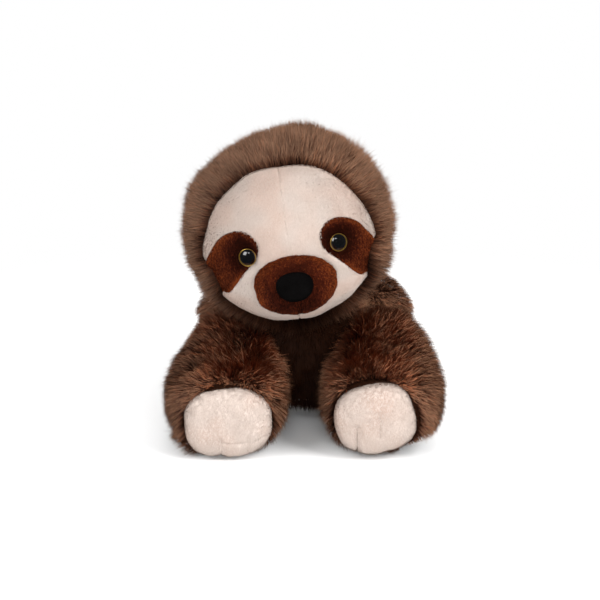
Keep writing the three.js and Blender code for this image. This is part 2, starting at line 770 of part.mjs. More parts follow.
// The head, turned as it rests: the chin lifted a little, and the face leaning to the toy's right.
function headGroup() {
  const group = new THREE.Group();
  group.position.copy(headCentre);
  group.rotation.set(-facePitch, -faceRoll, 0, 'XYZ');
  Object.entries(headSolids()).forEach(([name, [solid, material]]) => addPiece(group, name, solid, material));
  [[1, 'left'], [-1, 'right']].forEach(([side, name]) => {
    const seat = eyeSeat(side);
    const eye = new THREE.Group();
    eye.position.copy(seat.position);
    eye.quaternion.copy(seat.quaternion);
    addPiece(eye, `eye_${name}`, solidFrom(turned(eyeProfile(), 14)), eyeMaterial());
    addPiece(eye, `eye_ring_${name}`, solidFrom(turned(eyeRingProfile(), 18)), ringMaterial());
    addPiece(eye, `eye_washer_${name}`, solidFrom(turned(eyeWasherProfile(), 12)), washerMaterial());
    group.add(eye);
  });
  return group;
}

const sloth = new THREE.Group();
sloth.add(
  bodyGroup(new THREE.Vector3(), torsoSolids()),
  bodyGroup(headCentre, { neck_seam_thread: [neckThreadSolid(), threadMaterial()] }),
  headGroup(),
  bodyGroup(shoulderPoint(1), armSolids(1, 'left')),
  bodyGroup(shoulderPoint(-1), armSolids(-1, 'right')),
  bodyGroup(hipPoint(1), legSolids(1, 'left')),
  bodyGroup(hipPoint(-1), legSolids(-1, 'right')),
);

export default sloth;
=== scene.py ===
import math

import bpy
import numpy as np
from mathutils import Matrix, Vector


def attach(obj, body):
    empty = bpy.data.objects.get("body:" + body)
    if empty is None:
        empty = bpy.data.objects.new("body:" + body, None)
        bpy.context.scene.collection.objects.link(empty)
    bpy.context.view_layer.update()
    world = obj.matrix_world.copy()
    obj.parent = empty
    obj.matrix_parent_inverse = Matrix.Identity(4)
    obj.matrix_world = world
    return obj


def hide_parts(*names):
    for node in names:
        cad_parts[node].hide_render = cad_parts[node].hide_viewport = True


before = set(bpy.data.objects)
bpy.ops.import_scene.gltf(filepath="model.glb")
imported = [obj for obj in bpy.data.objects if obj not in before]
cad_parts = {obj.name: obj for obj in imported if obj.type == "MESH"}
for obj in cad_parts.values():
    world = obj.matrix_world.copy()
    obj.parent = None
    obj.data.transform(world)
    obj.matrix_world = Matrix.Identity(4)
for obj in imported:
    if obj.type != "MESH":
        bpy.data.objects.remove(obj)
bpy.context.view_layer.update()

MM = 0.001
UP = np.array([0.0, 0.0, 1.0])
SIDES = ((1, "left"), (-1, "right"))
density = 1.0


# ---------------------------------------------------------------- small maths

def unit(v):
    """Each row divided by its own length."""
    return v / np.maximum(np.linalg.norm(v, axis=-1, keepdims=True), 1e-9)


def smoothstep(low, high, x):
    """0 below low, 1 above high, and 3t^2 - 2t^3 between them."""
    t = np.clip((x - low) / (high - low), 0, 1)
    return t * t * (3 - 2 * t)


def catmull_rom(a, b, c, d, w):
    """The Catmull-Rom curve from b to c at shares w, with a before them and d after."""
    m0, m1 = (c - a) / 2, (d - b) / 2
    return (2 * b - 2 * c + m0 + m1) * w**3 + (3 * c - 3 * b - 2 * m0 - m1) * w**2 + m0 * w + b


def smooth_table(values, t):
    """That curve through evenly spaced entries, read at shares t of its length."""
    v = np.asarray(values, float)
    last = len(v) - 1
    place = np.clip(t, 0, 1) * last
    i = np.minimum(place.astype(int), last - 1)
    w = place - i
    if v.ndim > 1:
        w = w[..., None]
    return catmull_rom(v[np.maximum(i - 1, 0)], v[i], v[i + 1], v[np.minimum(i + 2, last)], w)


def waves(points, length, seed, count=10):
    """Soft noise of about -1 to 1: the mean of plane waves of one rough length in random directions."""
    rng = np.random.default_rng(seed)
    ways = unit(rng.normal(size=(count, 3)))
    pitch = 2 * np.pi / (length * rng.uniform(0.75, 1.35, count))
    phase = rng.uniform(0, 2 * np.pi, count)
    return np.sin(points @ (ways * pitch[:, None]).T + phase).sum(-1) / math.sqrt(count / 2) / 1.6


def waves3(points, length, seed):
    """Three of those noises side by side, as a direction."""
    return np.stack([waves(points, length, seed + k) for k in range(3)], -1)


def bowed(x, power):
    """The size of x raised to a power, with its sign kept: a power below 1 squares a circle."""
    return np.sign(x) * np.abs(x) ** power


def fold(distance, width):
    """1 at a seam, falling to 0 at a width from it, as cloth rolls down into a seam."""
    return (1 - np.clip(np.abs(distance) / width, 0, 1)) ** 2


def turned(points, angle, first, second):
    """Points turned by an angle in the plane of two axes, from the first towards the second."""
    c, s = math.cos(angle), math.sin(angle)
    out = points.copy()
    out[..., first] = points[..., first] * c - points[..., second] * s
    out[..., second] = points[..., first] * s + points[..., second] * c
    return out


def tangent_part(way, normals):
    """The part of a direction that lies in the skin, at unit length."""
    return unit(way - normals * (way * normals).sum(-1, keepdims=True))


# ---------------------------------------------------------------- the toy's own sizes, in mm and radians

HEAD = np.array([-13.0, -36.0, 149.0])  # the head's centre
HEAD_FUR = 76.5                         # the head's radius at the tips of its fur
MASK = 67.8                             # the cloth face's radius
FACE_PITCH, FACE_ROLL = math.radians(12.5), math.radians(8.0)

# In the head's own frame, whose middle is the head's centre and whose face looks along -Y:
MUZZLE, MUZZLE_HALF = np.array([1.0, -52.0, -40.5]), np.array([28.3, 24.0, 20.5])
NOSE, NOSE_HALF = np.array([0.2, -75.6, -40.7]), np.array([12.6, 5.2, 10.2])
EYE_AT = {1: (33.0, -15.4), -1: (-28.4, -17.0)}
CHEEK_SEAM = -0.335 * MASK              # the height of the seam between forehead and cheek
TUCK = 1.2                              # how far the face's cloth reaches under the fur and the muzzle

# Stuffed tubes. Each has its middle line, its greatest half sizes and their shares along it, the powers of the
# superellipse that closes its two ends, and how square its cross section is.
TORSO_PATH = [(0, -45, 45.4), (0, -29.8, 46.7), (0, -14.8, 49), (0, 0.3, 51), (0, 15.6, 50.5), (0, 30.8, 49.5),
              (0, 46, 48.6), (0, 61.2, 47.7), (0, 76.3, 46.3), (0, 91.4, 44.1), (0, 106.5, 42.4),
              (0, 121.8, 42.2), (0, 137, 42.1)]
ARM_PATH = {
    1: [(50, 22, 70), (50.7, 14, 60.3), (51.3, 6.1, 50.5), (52.1, -3.3, 42.2), (53.4, -15.5, 41.8),
        (54.8, -27.8, 39.7), (55.8, -40.2, 37.3), (56, -52.6, 35.6), (55.4, -65.1, 34.2), (54.3, -77.6, 33.1),
        (53.1, -90.1, 31.8), (51.7, -102.5, 30.1), (50.5, -115, 29.9)],
    -1: [(-50, 22, 70), (-49.4, 14, 60.3), (-48.9, 6.1, 50.5), (-49.1, -3.3, 42.2), (-50.8, -15.5, 41.8),
         (-53, -27.7, 39.7), (-54.9, -40, 37.3), (-56, -52.4, 35.6), (-56.2, -64.9, 34.2), (-55.8, -77.4, 33.1),
         (-55.2, -89.9, 31.8), (-54.5, -102.4, 30.1), (-54, -115, 29.9)],
}
LEG_PATH = [(38, 100, 29.5), (38.8, 107.5, 29.8), (39.5, 115.1, 30.1), (40.2, 122.4, 31.7), (41, 129.9, 32.1),
            (41.7, 137.5, 31.8), (42.5, 145, 31.5), (43.3, 152.5, 31.2), (44, 160, 30.7), (44.8, 167.5, 29.9),
            (45.5, 174.9, 28.5), (46.2, 182.5, 28.6), (47, 190, 28.6)]
TORSO = dict(path=TORSO_PATH, wide=66.0, high=52.0, blunt=(4.0, 3.0), square=2.4,
             wides=[0.74, 0.87, 0.95, 0.99, 1, 1], highs=[0.95, 1.01, 0.965, 0.925, 0.89, 0.88])
ARM = {s: dict(path=ARM_PATH[s], wide=45.0, high=43.0, blunt=(3.6, 5.0), square=2.5,
               wides=[0.8, 0.83, 0.88, 0.96, 1, 0.98, 0.95], highs=[0.9, 0.98, 0.99, 0.9, 0.82, 0.78, 0.76])
       for s in (1, -1)}
LEG = {s: dict(path=[(s * x, y, z) for x, y, z in LEG_PATH], wide=36.0, high=34.0, blunt=(3.6, 3.4), square=2.5,
               wides=[0.9, 0.95, 0.96, 0.93, 0.9], highs=[0.95, 0.97, 0.94, 0.92, 0.92])
       for s in (1, -1)}

# The joints' balls.
SHOULDER, SHOULDER_BALL = {s: np.array([s * 50.0, 22.0, 70.0]) for s in (1, -1)}, 34.0
HIP, HIP_BALL = {s: np.array([s * 38.0, 100.0, 36.0]) for s in (1, -1)}, 33.0

# Pads: centre, half sizes and what they lose to the pile, how square the outline is, turn about +Z and lean. The
# two toe seams are given as (across, (from, to) up, depth), and the folds as (up, (from, to) across, rise, depth).
PAD = {
    1: dict(at=(48.5, -105.5, 29.0), half=(30.0, 14.0, 26.0), less=(2.2, 0.6, 1.9), square=2.45,
            turn=math.radians(-5), lean=math.radians(14),
            seams=((-13.1, (-40, -2), 1.5), (3.5, (-10, 5), 0.8)),
            folds=((7.5, (-7, 3), 0, 0.5), (-3, (-19, -9), 0, 0.5))),
    -1: dict(at=(-53.5, -105.5, 26.6), half=(30.0, 14.0, 26.0), less=(0.4, 0.6, 1.9), square=2.65,
             turn=math.radians(1), lean=math.radians(3),
             seams=((-5.2, (-40, -8), 1.1), (15.2, (-22, -7), 0.9)),
             folds=((-12.5, (-4, 15), 0, 1.0), (-12.5, (17, 27), 0.5, 0.7))),
}
SOLE = {s: dict(at=(s * 47.0, 182.0, 30.0), half=(24.0, 13.0, 22.0)) for s in (1, -1)}


# ---------------------------------------------------------------- shapes

def section(form, share):
    """A tube's cross section at shares of its middle line: its centre and the ways along, sideways and over."""
    path = np.array(form["path"], float)
    step = 1e-3
    tangent = unit(smooth_table(path, np.clip(share + step, 0, 1)) - smooth_table(path, np.clip(share - step, 0, 1)))
    side = unit(np.cross(UP, tangent))
    return smooth_table(path, share), tangent, side, np.cross(tangent, side)


def half_sizes(form, share, along, inset=0.0, least=0.0):
    """A cross section's half width and half height: the form's tables less the inset, drawn in to a point at
    both ends by a superellipse of the share along."""
    power = np.where(along < 0.5, *form["blunt"])
    full = np.maximum(1 - np.abs(2 * along - 1) ** power, least) ** (1 / power)
    return [(form[way] * smooth_table(form[way + "s"], share) - inset) * full for way in ("wide", "high")]


def swollen(form, t, a, inset):
    """A stuffed tube. t runs 0 to 1 from end to end, slowest at the ends, and a round it. Each cross section is
    a superellipse of the half sizes, and the whole is drawn in by the inset."""
    length = np.linalg.norm(np.diff(np.array(form["path"], float), axis=0), axis=1).sum()
    along = (1 - np.cos(np.pi * t)) / 2
    share = np.clip((inset + along * (length - 2 * inset)) / length, 0, 1)
    centre, _, side, over = section(form, share)
    wide, high = half_sizes(form, share, along, inset)
    power = 2 / form["square"]
    return (centre + side * (wide * bowed(np.cos(a), power))[..., None]
            + over * (high * bowed(np.sin(a), power))[..., None])


def swollen_depth(form, points):
    """About how far points lie inside a stuffed tube's outer skin, in mm: positive inside. The nearest place on
    the path gives the cross section, and the point's share of its half sizes gives the depth."""
    shares = np.linspace(0, 1, 61)
    best, nearest = np.full(len(points), 1e9), np.zeros(len(points))
    for share, centre in zip(shares, smooth_table(form["path"], shares)):
        far = ((points - centre) ** 2).sum(-1)
        nearer = far < best
        best[nearer], nearest[nearer] = far[nearer], share
    centre, tangent, side, over = section(form, nearest)
    wide, high = half_sizes(form, nearest, nearest, least=1e-3)
    off = points - centre
    past_end = np.abs((off * tangent).sum(-1))
    n = form["square"]
    out = (np.abs((off * side).sum(-1) / wide) ** n + np.abs((off * over).sum(-1) / high) ** n) ** (1 / n)
    return np.where(past_end > 3, -past_end, (1 - out) * np.minimum(wide, high))


def torso_shape(t, a, inset):
    """The torso's skin."""
    return swollen(TORSO, t, a, inset)


def limb_shape(form, start, shallow):
    """A limb's skin. From a share of its length on, its inset changes to the shallow one, because there the cloth
    is sewn to the edge of the pad or the sole."""
    def shape(t, a, inset):
        near = smoothstep(start, 0.97, (1 - np.cos(np.pi * t)) / 2)[..., None]
        return swollen(form, t, a, inset) * (1 - near) + swollen(form, t, a, shallow) * near
    return shape


def ball_way(t, a):
    """Directions out of a ball, t from its front pole to its back and a round it."""
    theta = np.pi * t
    return np.stack([np.sin(theta) * np.cos(a), -np.cos(theta), np.sin(theta) * np.sin(a)], -1)


def ball_at(centre, radius):
    """The skin of a joint's ball."""
    return lambda t, a, inset: centre + ball_way(t, a) * (radius - inset)


def head_dent(way):
    """How far the head's fur lies below a true ball in each direction, in mm: the crown is pressed flatter on
    the toy's right, and the jaw is a little fuller."""
    up_right = unit(np.array([-0.454, -0.1, 0.891]))
    up_left = unit(np.array([0.6, -0.1, 0.8]))
    jaw = unit(np.array([0.96, -0.1, -0.24]))
    return (5.6 * smoothstep(0.74, 1.0, way @ up_right) + 0.8 * smoothstep(0.7, 1.0, way @ up_left)
            - 2.4 * smoothstep(0.88, 1.0, way @ jaw))


def head_ball(t, a, inset):
    """The head's skin: a ball round its centre, less the dents."""
    way = ball_way(t, a)
    return HEAD + way * (HEAD_FUR - inset - head_dent(way))[..., None]


def head_turn():
    """The 3 by 3 matrix that takes the head's own frame to the toy's: X by the pitch, times Y by the roll."""
    cp, sp = math.cos(-FACE_PITCH), math.sin(-FACE_PITCH)
    cr, sr = math.cos(-FACE_ROLL), math.sin(-FACE_ROLL)
    about_x = np.array([[1, 0, 0], [0, cp, -sp], [0, sp, cp]])
    about_y = np.array([[cr, 0, sr], [0, 1, 0], [-sr, 0, cr]])
    return about_x @ about_y


HEAD_TURN = head_turn()


def from_head(points):
    """Points of the head's own frame in the toy's."""
    return points @ HEAD_TURN.T + HEAD


def to_head(points):
    """The toy's points in the head's own frame."""
    return (points - HEAD) @ HEAD_TURN


def pad_local(points, pad):
    """Points in a pad's own frame: x across, y out of the paw towards the back, z up."""
    return turned(points - np.array(pad["at"]), -pad.get("turn", 0.0), 0, 1)


# ---------------------------------------------------------------- meshes

def new_mesh(name, points, faces, materials, slots=None, uvs=None, normals=None):
    """One object from whole arrays. points are in mm; faces is a list of index arrays, each with one number of
    corners; slots has a material index for each array of faces, and uvs a row per corner in the same order."""
    mesh = bpy.data.meshes.new(name)
    points = np.asarray(points, np.float32) * MM
    mesh.vertices.add(len(points))
    mesh.vertices.foreach_set("co", points.ravel())
    corners = np.concatenate([f.ravel() for f in faces]).astype(np.int32)
    totals = np.concatenate([np.full(len(f), f.shape[1], np.int32) for f in faces])
    starts = np.concatenate([[0], np.cumsum(totals)[:-1]]).astype(np.int32)
    mesh.loops.add(len(corners))
    mesh.loops.foreach_set("vertex_index", corners)
    mesh.polygons.add(len(totals))
    mesh.polygons.foreach_set("loop_start", starts)
    mesh.polygons.foreach_set("loop_total", totals)
    mesh.polygons.foreach_set("use_smooth", np.ones(len(totals), bool))
    for finish in materials:
        mesh.materials.append(finish)
    if slots is not None:
        which = np.concatenate([np.full(len(f), s, np.int32) for f, s in zip(faces, slots)])
        mesh.polygons.foreach_set("material_index", which)
    mesh.update(calc_edges=True)
    if uvs is not None:
        for layer in ("pile", "OFBake"):
            mesh.uv_layers.new(name=layer).data.foreach_set("uv", np.asarray(uvs, np.float32).ravel())
    if normals is not None:
        mesh.normals_split_custom_set_from_vertices(np.asarray(normals, np.float32))
    obj = bpy.data.objects.new(name, mesh)
    bpy.context.scene.collection.objects.link(obj)
    return obj


def grid_faces(rows, columns, closed, looped=False):
    """Quads of a grid of points, row by row. closed joins the last column to the first, and looped the last row
    to the first."""
    r = np.arange(rows if looped else rows - 1)[:, None]
    c = np.arange(columns if closed else columns - 1)[None, :]
    s, d = (r + 1) % rows, (c + 1) % columns
    return np.stack([r * columns + c, r * columns + d, s * columns + d, s * columns + c], -1).reshape(-1, 4)


def cap_faces(rows, columns):
    """Triangles that close a grid of rings at both its ends, on two more points that follow the grid's."""
    k = np.arange(columns)
    after = (k + 1) % columns
    first, base = rows * columns, (rows - 1) * columns
    near = np.stack([np.full(columns, first), after, k], -1)
    far = np.stack([np.full(columns, first + 1), base + k, base + after], -1)
    return np.concatenate([near, far])


def outward(points, quads, triangles):
    """The same faces, all turned round if the closed surface they make holds a negative volume."""
    corners = np.concatenate([quads[:, [0, 1, 2]], quads[:, [0, 2, 3]], triangles])
    p = points[corners]
    if np.einsum("ij,ij->i", p[:, 0], np.cross(p[:, 1], p[:, 2])).sum() < 0:
        return quads[:, ::-1], triangles[:, ::-1]
    return quads, triangles


def closed_form(shape, rows, columns, inset):
    """A closed surface from a shape of (t, a): rings between two poles. Returns points, quads and triangles."""
    t = np.linspace(0, 1, rows + 2)[1:-1]
    a = np.linspace(0, 2 * np.pi, columns, endpoint=False)
    tt, aa = np.meshgrid(t, a, indexing="ij")
    rings = shape(tt.ravel(), aa.ravel(), inset)
    ends = shape(np.array([0.0, 1.0]), np.array([0.0, 0.0]), inset)
    points = np.concatenate([rings, ends])
    return points, *outward(points - points.mean(0), grid_faces(rows, columns, True), cap_faces(rows, columns))


def thicken(outer, inner, quads):
    """A closed shell from an open sheet: the outer faces, the inner ones turned round, and a wall of quads along
    each edge that only one face uses."""
    count = len(outer)
    edges = np.concatenate([quads[:, [k, (k + 1) % 4]] for k in range(4)])
    key = np.sort(edges, 1)
    _, first, uses = np.unique(key[:, 0].astype(np.int64) * count + key[:, 1], return_index=True, return_counts=True)
    rim = edges[first[uses == 1]]
    walls = np.stack([rim[:, 1], rim[:, 0], rim[:, 0] + count, rim[:, 1] + count], -1)
    return np.concatenate([outer, inner]), np.concatenate([quads, quads[:, ::-1] + count, walls])


def point_normals(points, *faces):
    """Area-weighted normals of points, from arrays of quads or triangles."""
    normals = np.zeros_like(points)
    for corners in faces:
        p = points[corners]
        n = np.cross(p[:, 2] - p[:, 0], p[:, -1] - p[:, 1])
        for k in range(corners.shape[1]):
            np.add.at(normals, corners[:, k], n)
    return unit(normals)


def cloth_uv(at, *faces):
    """The same small square of the pile's map for every face of the cloth under it."""
    corners = sum(f.size for f in faces)
    square = at + 0.004 * np.array([[0, 0], [1, 0], [1, 1], [0, 1]])
    return np.tile(square, (corners // 4 + 1, 1))[:corners]


def dress(piece, node_name, body):
    """Hides the CAD node that a piece stands for, and hangs the piece on the body that it rides."""
    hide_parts(node_name)
    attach(piece, body)


# ---------------------------------------------------------------- hairs

HAIR_POINTS = 5         # of a hair's ribbon: two at its root, two on its way and its tip
TUFT_HAIRS = 9
TUFT_SPREAD = 2.2       # how far a tuft's hairs stand from its middle, in mm
BACKING_GRID = (60, 72)
BACKING_DEEPER = 2.0    # how far the fur's backing lies below its roots, in mm
PRESSED_BELOW = 0.65    # a pile that keeps less than this share of its length is thinned as well
ROOT_DEPTH, PILE_DEPTH = 0.6, 0.2   # how deep in the cloth a hair of the fur and of the cut pile is rooted, in mm
HAIR_ROLL = 0.6         # how much hairs differ in how they are turned about their own length, in radians
HAIR_LENGTH = (0.74, 1.10)
HAIR_TONE, TUFT_TONE, TUFT_LENGTH, TUFT_BEND = 0.17, 0.06, 0.05, 0.13  # how much hairs and tufts differ by chance
GATHER_SPREAD, GATHER_MOST = 0.15, 0.85
LONG_BEND, SHORT_BEND = (13.0, 0.22), (7.0, 0.10)   # soft waves over the fur: each one's length in mm and strength
LENGTH_WAVE, TONE_WAVE = (21.0, 0.08), (30.0, 0.08)
WILD_SHARE = 0.20       # some hairs stand out of the pile: they stray more, and are longer and thinner
WILD_STRAY, WILD_LONGER, WILD_WIDTH = 0.30, 1.18, 0.75
MAP_HALF = 0.0012       # half a hair's width on its map
FLOOR_NEAR, FLOOR_LEAST = 1.2, 0.25  # lower than the first height, hairs are laid flat, never below the second


def scatter(shape, inset, count, rng):
    """Random places (t, a) spread evenly over a shape: the cell of a fine grid is drawn by its area, and the
    place in it at random."""
    n = 120
    t, a = np.meshgrid(np.linspace(0, 1, n + 1), np.linspace(0, 2 * np.pi, n + 1), indexing="ij")
    p = shape(t.ravel(), a.ravel(), inset).reshape(n + 1, n + 1, 3)
    area = np.linalg.norm(np.cross(p[1:, 1:] - p[:-1, :-1], p[1:, :-1] - p[:-1, 1:]), axis=-1).ravel() / 2
    cells = np.minimum(np.searchsorted(np.cumsum(area) / area.sum(), rng.random(count)), n * n - 1)
    t = (cells // n + rng.random(count)) / n
    a = (cells % n + rng.random(count)) / n * 2 * np.pi
    return np.clip(t, 0.004, 0.996), a


def surface_at(shape, t, a, inset):
    """Points of a shape, its outward normals and its two side directions in mm for each step of t and a."""
    e = 2e-3
    p = shape(t, a, inset)
    along = (shape(t + e, a, inset) - shape(t - e, a, inset)) / (2 * e)
    around = (shape(t, a + e, inset) - shape(t, a - e, inset)) / (2 * e)
    n = unit(np.cross(around, along))
    if ((p - p.mean(0)) * n).sum() < 0:
        n = -n
    return p, n, along, around


def strands(roots, normals, start, end, lengths, widths, tone, tips, gather, middle, rng):
    """Flat tapering hairs. Each leaves its root along its start direction and turns steadily to its end
    direction, so its middle line is root + length * (s * start + s^2 / 2 * (end - start)), taken at s = 0, at
    the middle and at 1. It is drawn to its tuft's tip by a share that grows with s squared. Its ribbon is turned
    by chance about its own length, mostly flat to the skin. Its map has the tone across and s up."""
    count = len(roots)
    s = np.array([0, middle, 1])
    line = roots[:, None] + lengths[:, None, None] * (
        s[None, :, None] * start[:, None] + (s**2 / 2)[None, :, None] * (end - start)[:, None])
    pull = (gather[:, None] * s[None, :] ** 2)[..., None]
    line = line * (1 - pull) + (tips[:, None] * s[None, :, None] + roots[:, None] * (1 - s)[None, :, None]) * pull
    mean = unit(line[:, 2] - line[:, 0])
    flat = unit(np.cross(mean, normals) + 1e-4)
    edge = unit(np.cross(mean, flat))
    roll = rng.normal(0, HAIR_ROLL, count)
    across = flat * np.cos(roll)[:, None] + edge * np.sin(roll)[:, None]
    across *= np.where((np.cross(across, mean) * normals).sum(-1) < 0, -1.0, 1.0)[:, None]
    taper = np.interp(s, (0, 0.5, 1), (0.9, 1.0, 0.0))
    half = across[:, None] * (widths[:, None] * taper[None] / 2)[..., None]
    points = np.empty((count, HAIR_POINTS, 3))
    points[:, 0:4:2], points[:, 1:4:2], points[:, 4] = (line - half)[:, :2], (line + half)[:, :2], line[:, 2]
    base = (np.arange(count) * HAIR_POINTS)[:, None]
    shade = unit(normals * 0.85 + np.cross(across, mean) * 0.35)
    left, right = tone - MAP_HALF, tone + MAP_HALF
    low, mid, high = (np.full(count, v) for v in (0.0, middle, 0.995))
    quad_uv = np.stack([left, low, right, low, right, mid, left, mid], -1).reshape(-1, 2)
    tip_uv = np.stack([left, mid, right, mid, tone, high], -1).reshape(-1, 2)
    return (points.reshape(-1, 3), base + np.array([0, 1, 3, 2]), base + np.array([2, 3, 4]),
            np.concatenate([quad_uv, tip_uv]), np.repeat(shade, HAIR_POINTS, 0))


def above_floor(points):
    """Points that would pass through the floor are laid flat on it: their heights die away to the least one."""
    out = points.copy()
    low = out[:, 2] < FLOOR_NEAR
    out[low, 2] = FLOOR_LEAST + (FLOOR_NEAR - FLOOR_LEAST) * np.exp((out[low, 2] - FLOOR_NEAR) / 3.0)
    return out


def rooted(shape, inset, tufts, grows, look, rng, thinning):
    """One source's tufts, with their normals, and the roots and normals of its hairs, with each one's tuft.
    Hairs grow where grows says, and fewer where the pile is pressed short."""
    t0, a0 = scatter(shape, inset, tufts, rng)
    p0, n0, along, around = surface_at(shape, t0, a0, inset)
    k = np.repeat(np.arange(tufts), TUFT_HAIRS)
    off = rng.normal(0, TUFT_SPREAD, (len(k), 2))
    t = t0[k] + off[:, 0] / np.maximum(np.linalg.norm(along[k], axis=-1), 8)
    a = a0[k] + off[:, 1] / np.maximum(np.linalg.norm(around[k], axis=-1), 8)
    roots, normals, _, _ = surface_at(shape, np.clip(t, 0.003, 0.997), a, inset)
    alive = grows(roots)
    if "pressed_share" in look:
        short = look["shape"](roots, normals)[0] < PRESSED_BELOW
        alive &= ~short | (thinning.random(len(roots)) < look["pressed_share"])
    return p0, n0, roots[alive], normals[alive], k[alive]


def pelt(name, sources, count, look, seed):
    """One furred piece: its hairs in tufts, and its backing, a closed surface for each source. A source is a
    shape, its inset, its share of the hairs and where hair grows on it. The look says how long the pile is and
    how it lies, leans, gathers and strays."""
    rng, thinning = np.random.default_rng(seed), np.random.default_rng(seed + 700)
    grown, before = [], 0
    for shape, inset, share, grows in sources:
        *places, k = rooted(shape, inset, int(count * share) // TUFT_HAIRS, grows, look, rng, thinning)
        grown.append((*places, k + before))
        before += len(places[0])
    p0, n0, roots, normals, k = (np.concatenate(v) for v in zip(*grown))
    tufts, hairs = len(p0), len(roots)
    lie, tuft_lie = look["comb"](roots, normals), look["comb"](p0, n0)
    longer, lean = look["shape"](roots, normals)
    tuft_longer, tuft_lean = look["shape"](p0, n0)
    lean, tuft_lean = lean[:, None], tuft_lean[:, None]
    bend = look["ruffle"] * (
        waves3(p0, LONG_BEND[0], seed) * LONG_BEND[1] + waves3(p0, SHORT_BEND[0], seed + 3) * SHORT_BEND[1]
        + rng.normal(0, TUFT_BEND, p0.shape))
    varied, tuft_varied = (1 + LENGTH_WAVE[1] * waves(v, LENGTH_WAVE[0], seed + 5) for v in (roots, p0))
    tips = p0 + unit(n0 + tuft_lie * tuft_lean * 0.8 + bend) * (
        look["length"] * tuft_longer * (tuft_varied + rng.normal(0, TUFT_LENGTH, tufts)))[:, None]
    wild = rng.random(hairs) < WILD_SHARE
    stray = rng.normal(0, 1, roots.shape) * np.where(wild, WILD_STRAY, look["stray"])[:, None]
    start = unit(normals + lie * lean * 0.3 + bend[k] * 0.6 + stray * 0.8)
    end = unit(normals * 0.9 + lie * lean * 1.2 + bend[k] + stray)
    lengths = look["length"] * longer * varied * rng.uniform(*HAIR_LENGTH, hairs) * np.where(wild, WILD_LONGER, 1.0)
    widths = rng.uniform(*look["width"], hairs) * np.where(wild, WILD_WIDTH, 1.0)
    tone = look["tone"](roots)
    # Tones below 0.4 are painted shade, on the chest and under the chin: there the hairs differ less.
    spread = np.minimum(1, tone / 0.4)  # dark fur differs less
    cloud = TONE_WAVE[1] * waves(roots, TONE_WAVE[0], seed + 9)
    tone = tone + spread * (cloud + rng.normal(0, TUFT_TONE, tufts)[k])
    tone = np.clip(tone + spread * rng.normal(0, HAIR_TONE, hairs), 0.01, 0.99)
    gather = np.clip(rng.normal(look["gather"], GATHER_SPREAD, hairs), 0, GATHER_MOST)
    gather = np.where(wild, 0.0, gather)
    points, quads, triangles, uv, shade = strands(
        roots - normals * ROOT_DEPTH, normals, start, end, lengths, widths, tone, tips[k], gather, 0.5, rng)
    if "trim" in look:
        points = look["trim"](points, np.repeat(roots, HAIR_POINTS, 0))
    parts, faces, slots, uvs, shades = [above_floor(points)], [quads, triangles], [0, 0], [uv], [shade]
    for shape, inset, _, _ in sources:
        base, *base_faces = closed_form(shape, *BACKING_GRID, inset + BACKING_DEEPER)
        shift = sum(len(v) for v in parts)
        parts.append(above_floor(base))
        faces += [f + shift for f in base_faces]
        slots += [1, 1]
        uvs.append(cloth_uv(0.5, *base_faces))
        shades.append(point_normals(base, *base_faces))
    return new_mesh(name, np.concatenate(parts), faces, look["materials"], slots, np.concatenate(uvs),
                    np.concatenate(shades))


def pile_ways(roots, normals, lie_way, swirl, seed, rng):
    """The start and end directions of a cut pile's hairs: half upright, then over along the lie, each a little
    its own way."""
    lie = tangent_part(np.array(lie_way) + waves3(roots, 24.0, seed + 2) * swirl, normals)
    bend = waves3(roots, 2.4, seed + 4) * 0.05 + rng.normal(0, 0.16, roots.shape)
    return unit(normals * 0.65 + bend * 0.6 + lie * 0.75), unit(normals * 0.32 + bend + lie)


def pile_tone(roots, tone, grain, own, seed, rng):
    """A cut pile's tones: soft clouds, a fine grain, and what each hair differs by itself."""
    tone = tone + 0.05 * waves(roots, 15.0, seed + 6) + 0.03 * grain * waves(roots, 2.5, seed + 7)
    return np.clip(tone + rng.normal(0, own + 0.02 * grain, len(roots)), 0.01, 0.99)


def plush_piece(name, roots, normals, ways, lengths, widths, tone, cloth, finish, in_head, rng):
    """A cut pile and the cloth it stands on as one object, moved out of the head's frame if it is drawn there."""
    points, quads, triangles, uv, shade = strands(
        roots - normals * PILE_DEPTH, normals, *ways, lengths, widths, tone, roots, np.zeros(len(roots)), 0.6, rng)
    base, *faces = cloth
    shift = len(points)
    points = np.concatenate([points, base])
    shade = np.concatenate([shade, point_normals(base, *faces)])
    if in_head:
        points, shade = from_head(points), shade @ HEAD_TURN.T
    return new_mesh(name, points, [quads, triangles] + [f + shift for f in faces], finish,
                    [0, 0] + [1] * len(faces), np.concatenate([uv, cloth_uv(0.6, *faces)]), shade)


# ---------------------------------------------------------------- materials

MULTIPLY = dict(data_type="RGBA", blend_type="MULTIPLY", in_0=1.0)


def srgb(code, alpha=1.0):
    """An sRGB hex colour as linear numbers."""
    parts = [int(code[i:i + 2], 16) / 255 for i in (0, 2, 4)]
    return [c / 12.92 if c <= 0.04045 else ((c + 0.055) / 1.055) ** 2.4 for c in parts] + [alpha]


def material(name, colour, rough, **sockets):
    """A material whose constants stand on the shader's own sockets."""
    made = bpy.data.materials.new(name)
    made.use_nodes = True
    shader = made.node_tree.nodes["Principled BSDF"]
    shader.inputs["Base Color"].default_value = srgb(colour)
    shader.inputs["Roughness"].default_value = rough
    for key, value in sockets.items():
        shader.inputs[key.replace("_", " ")].default_value = value
    return made


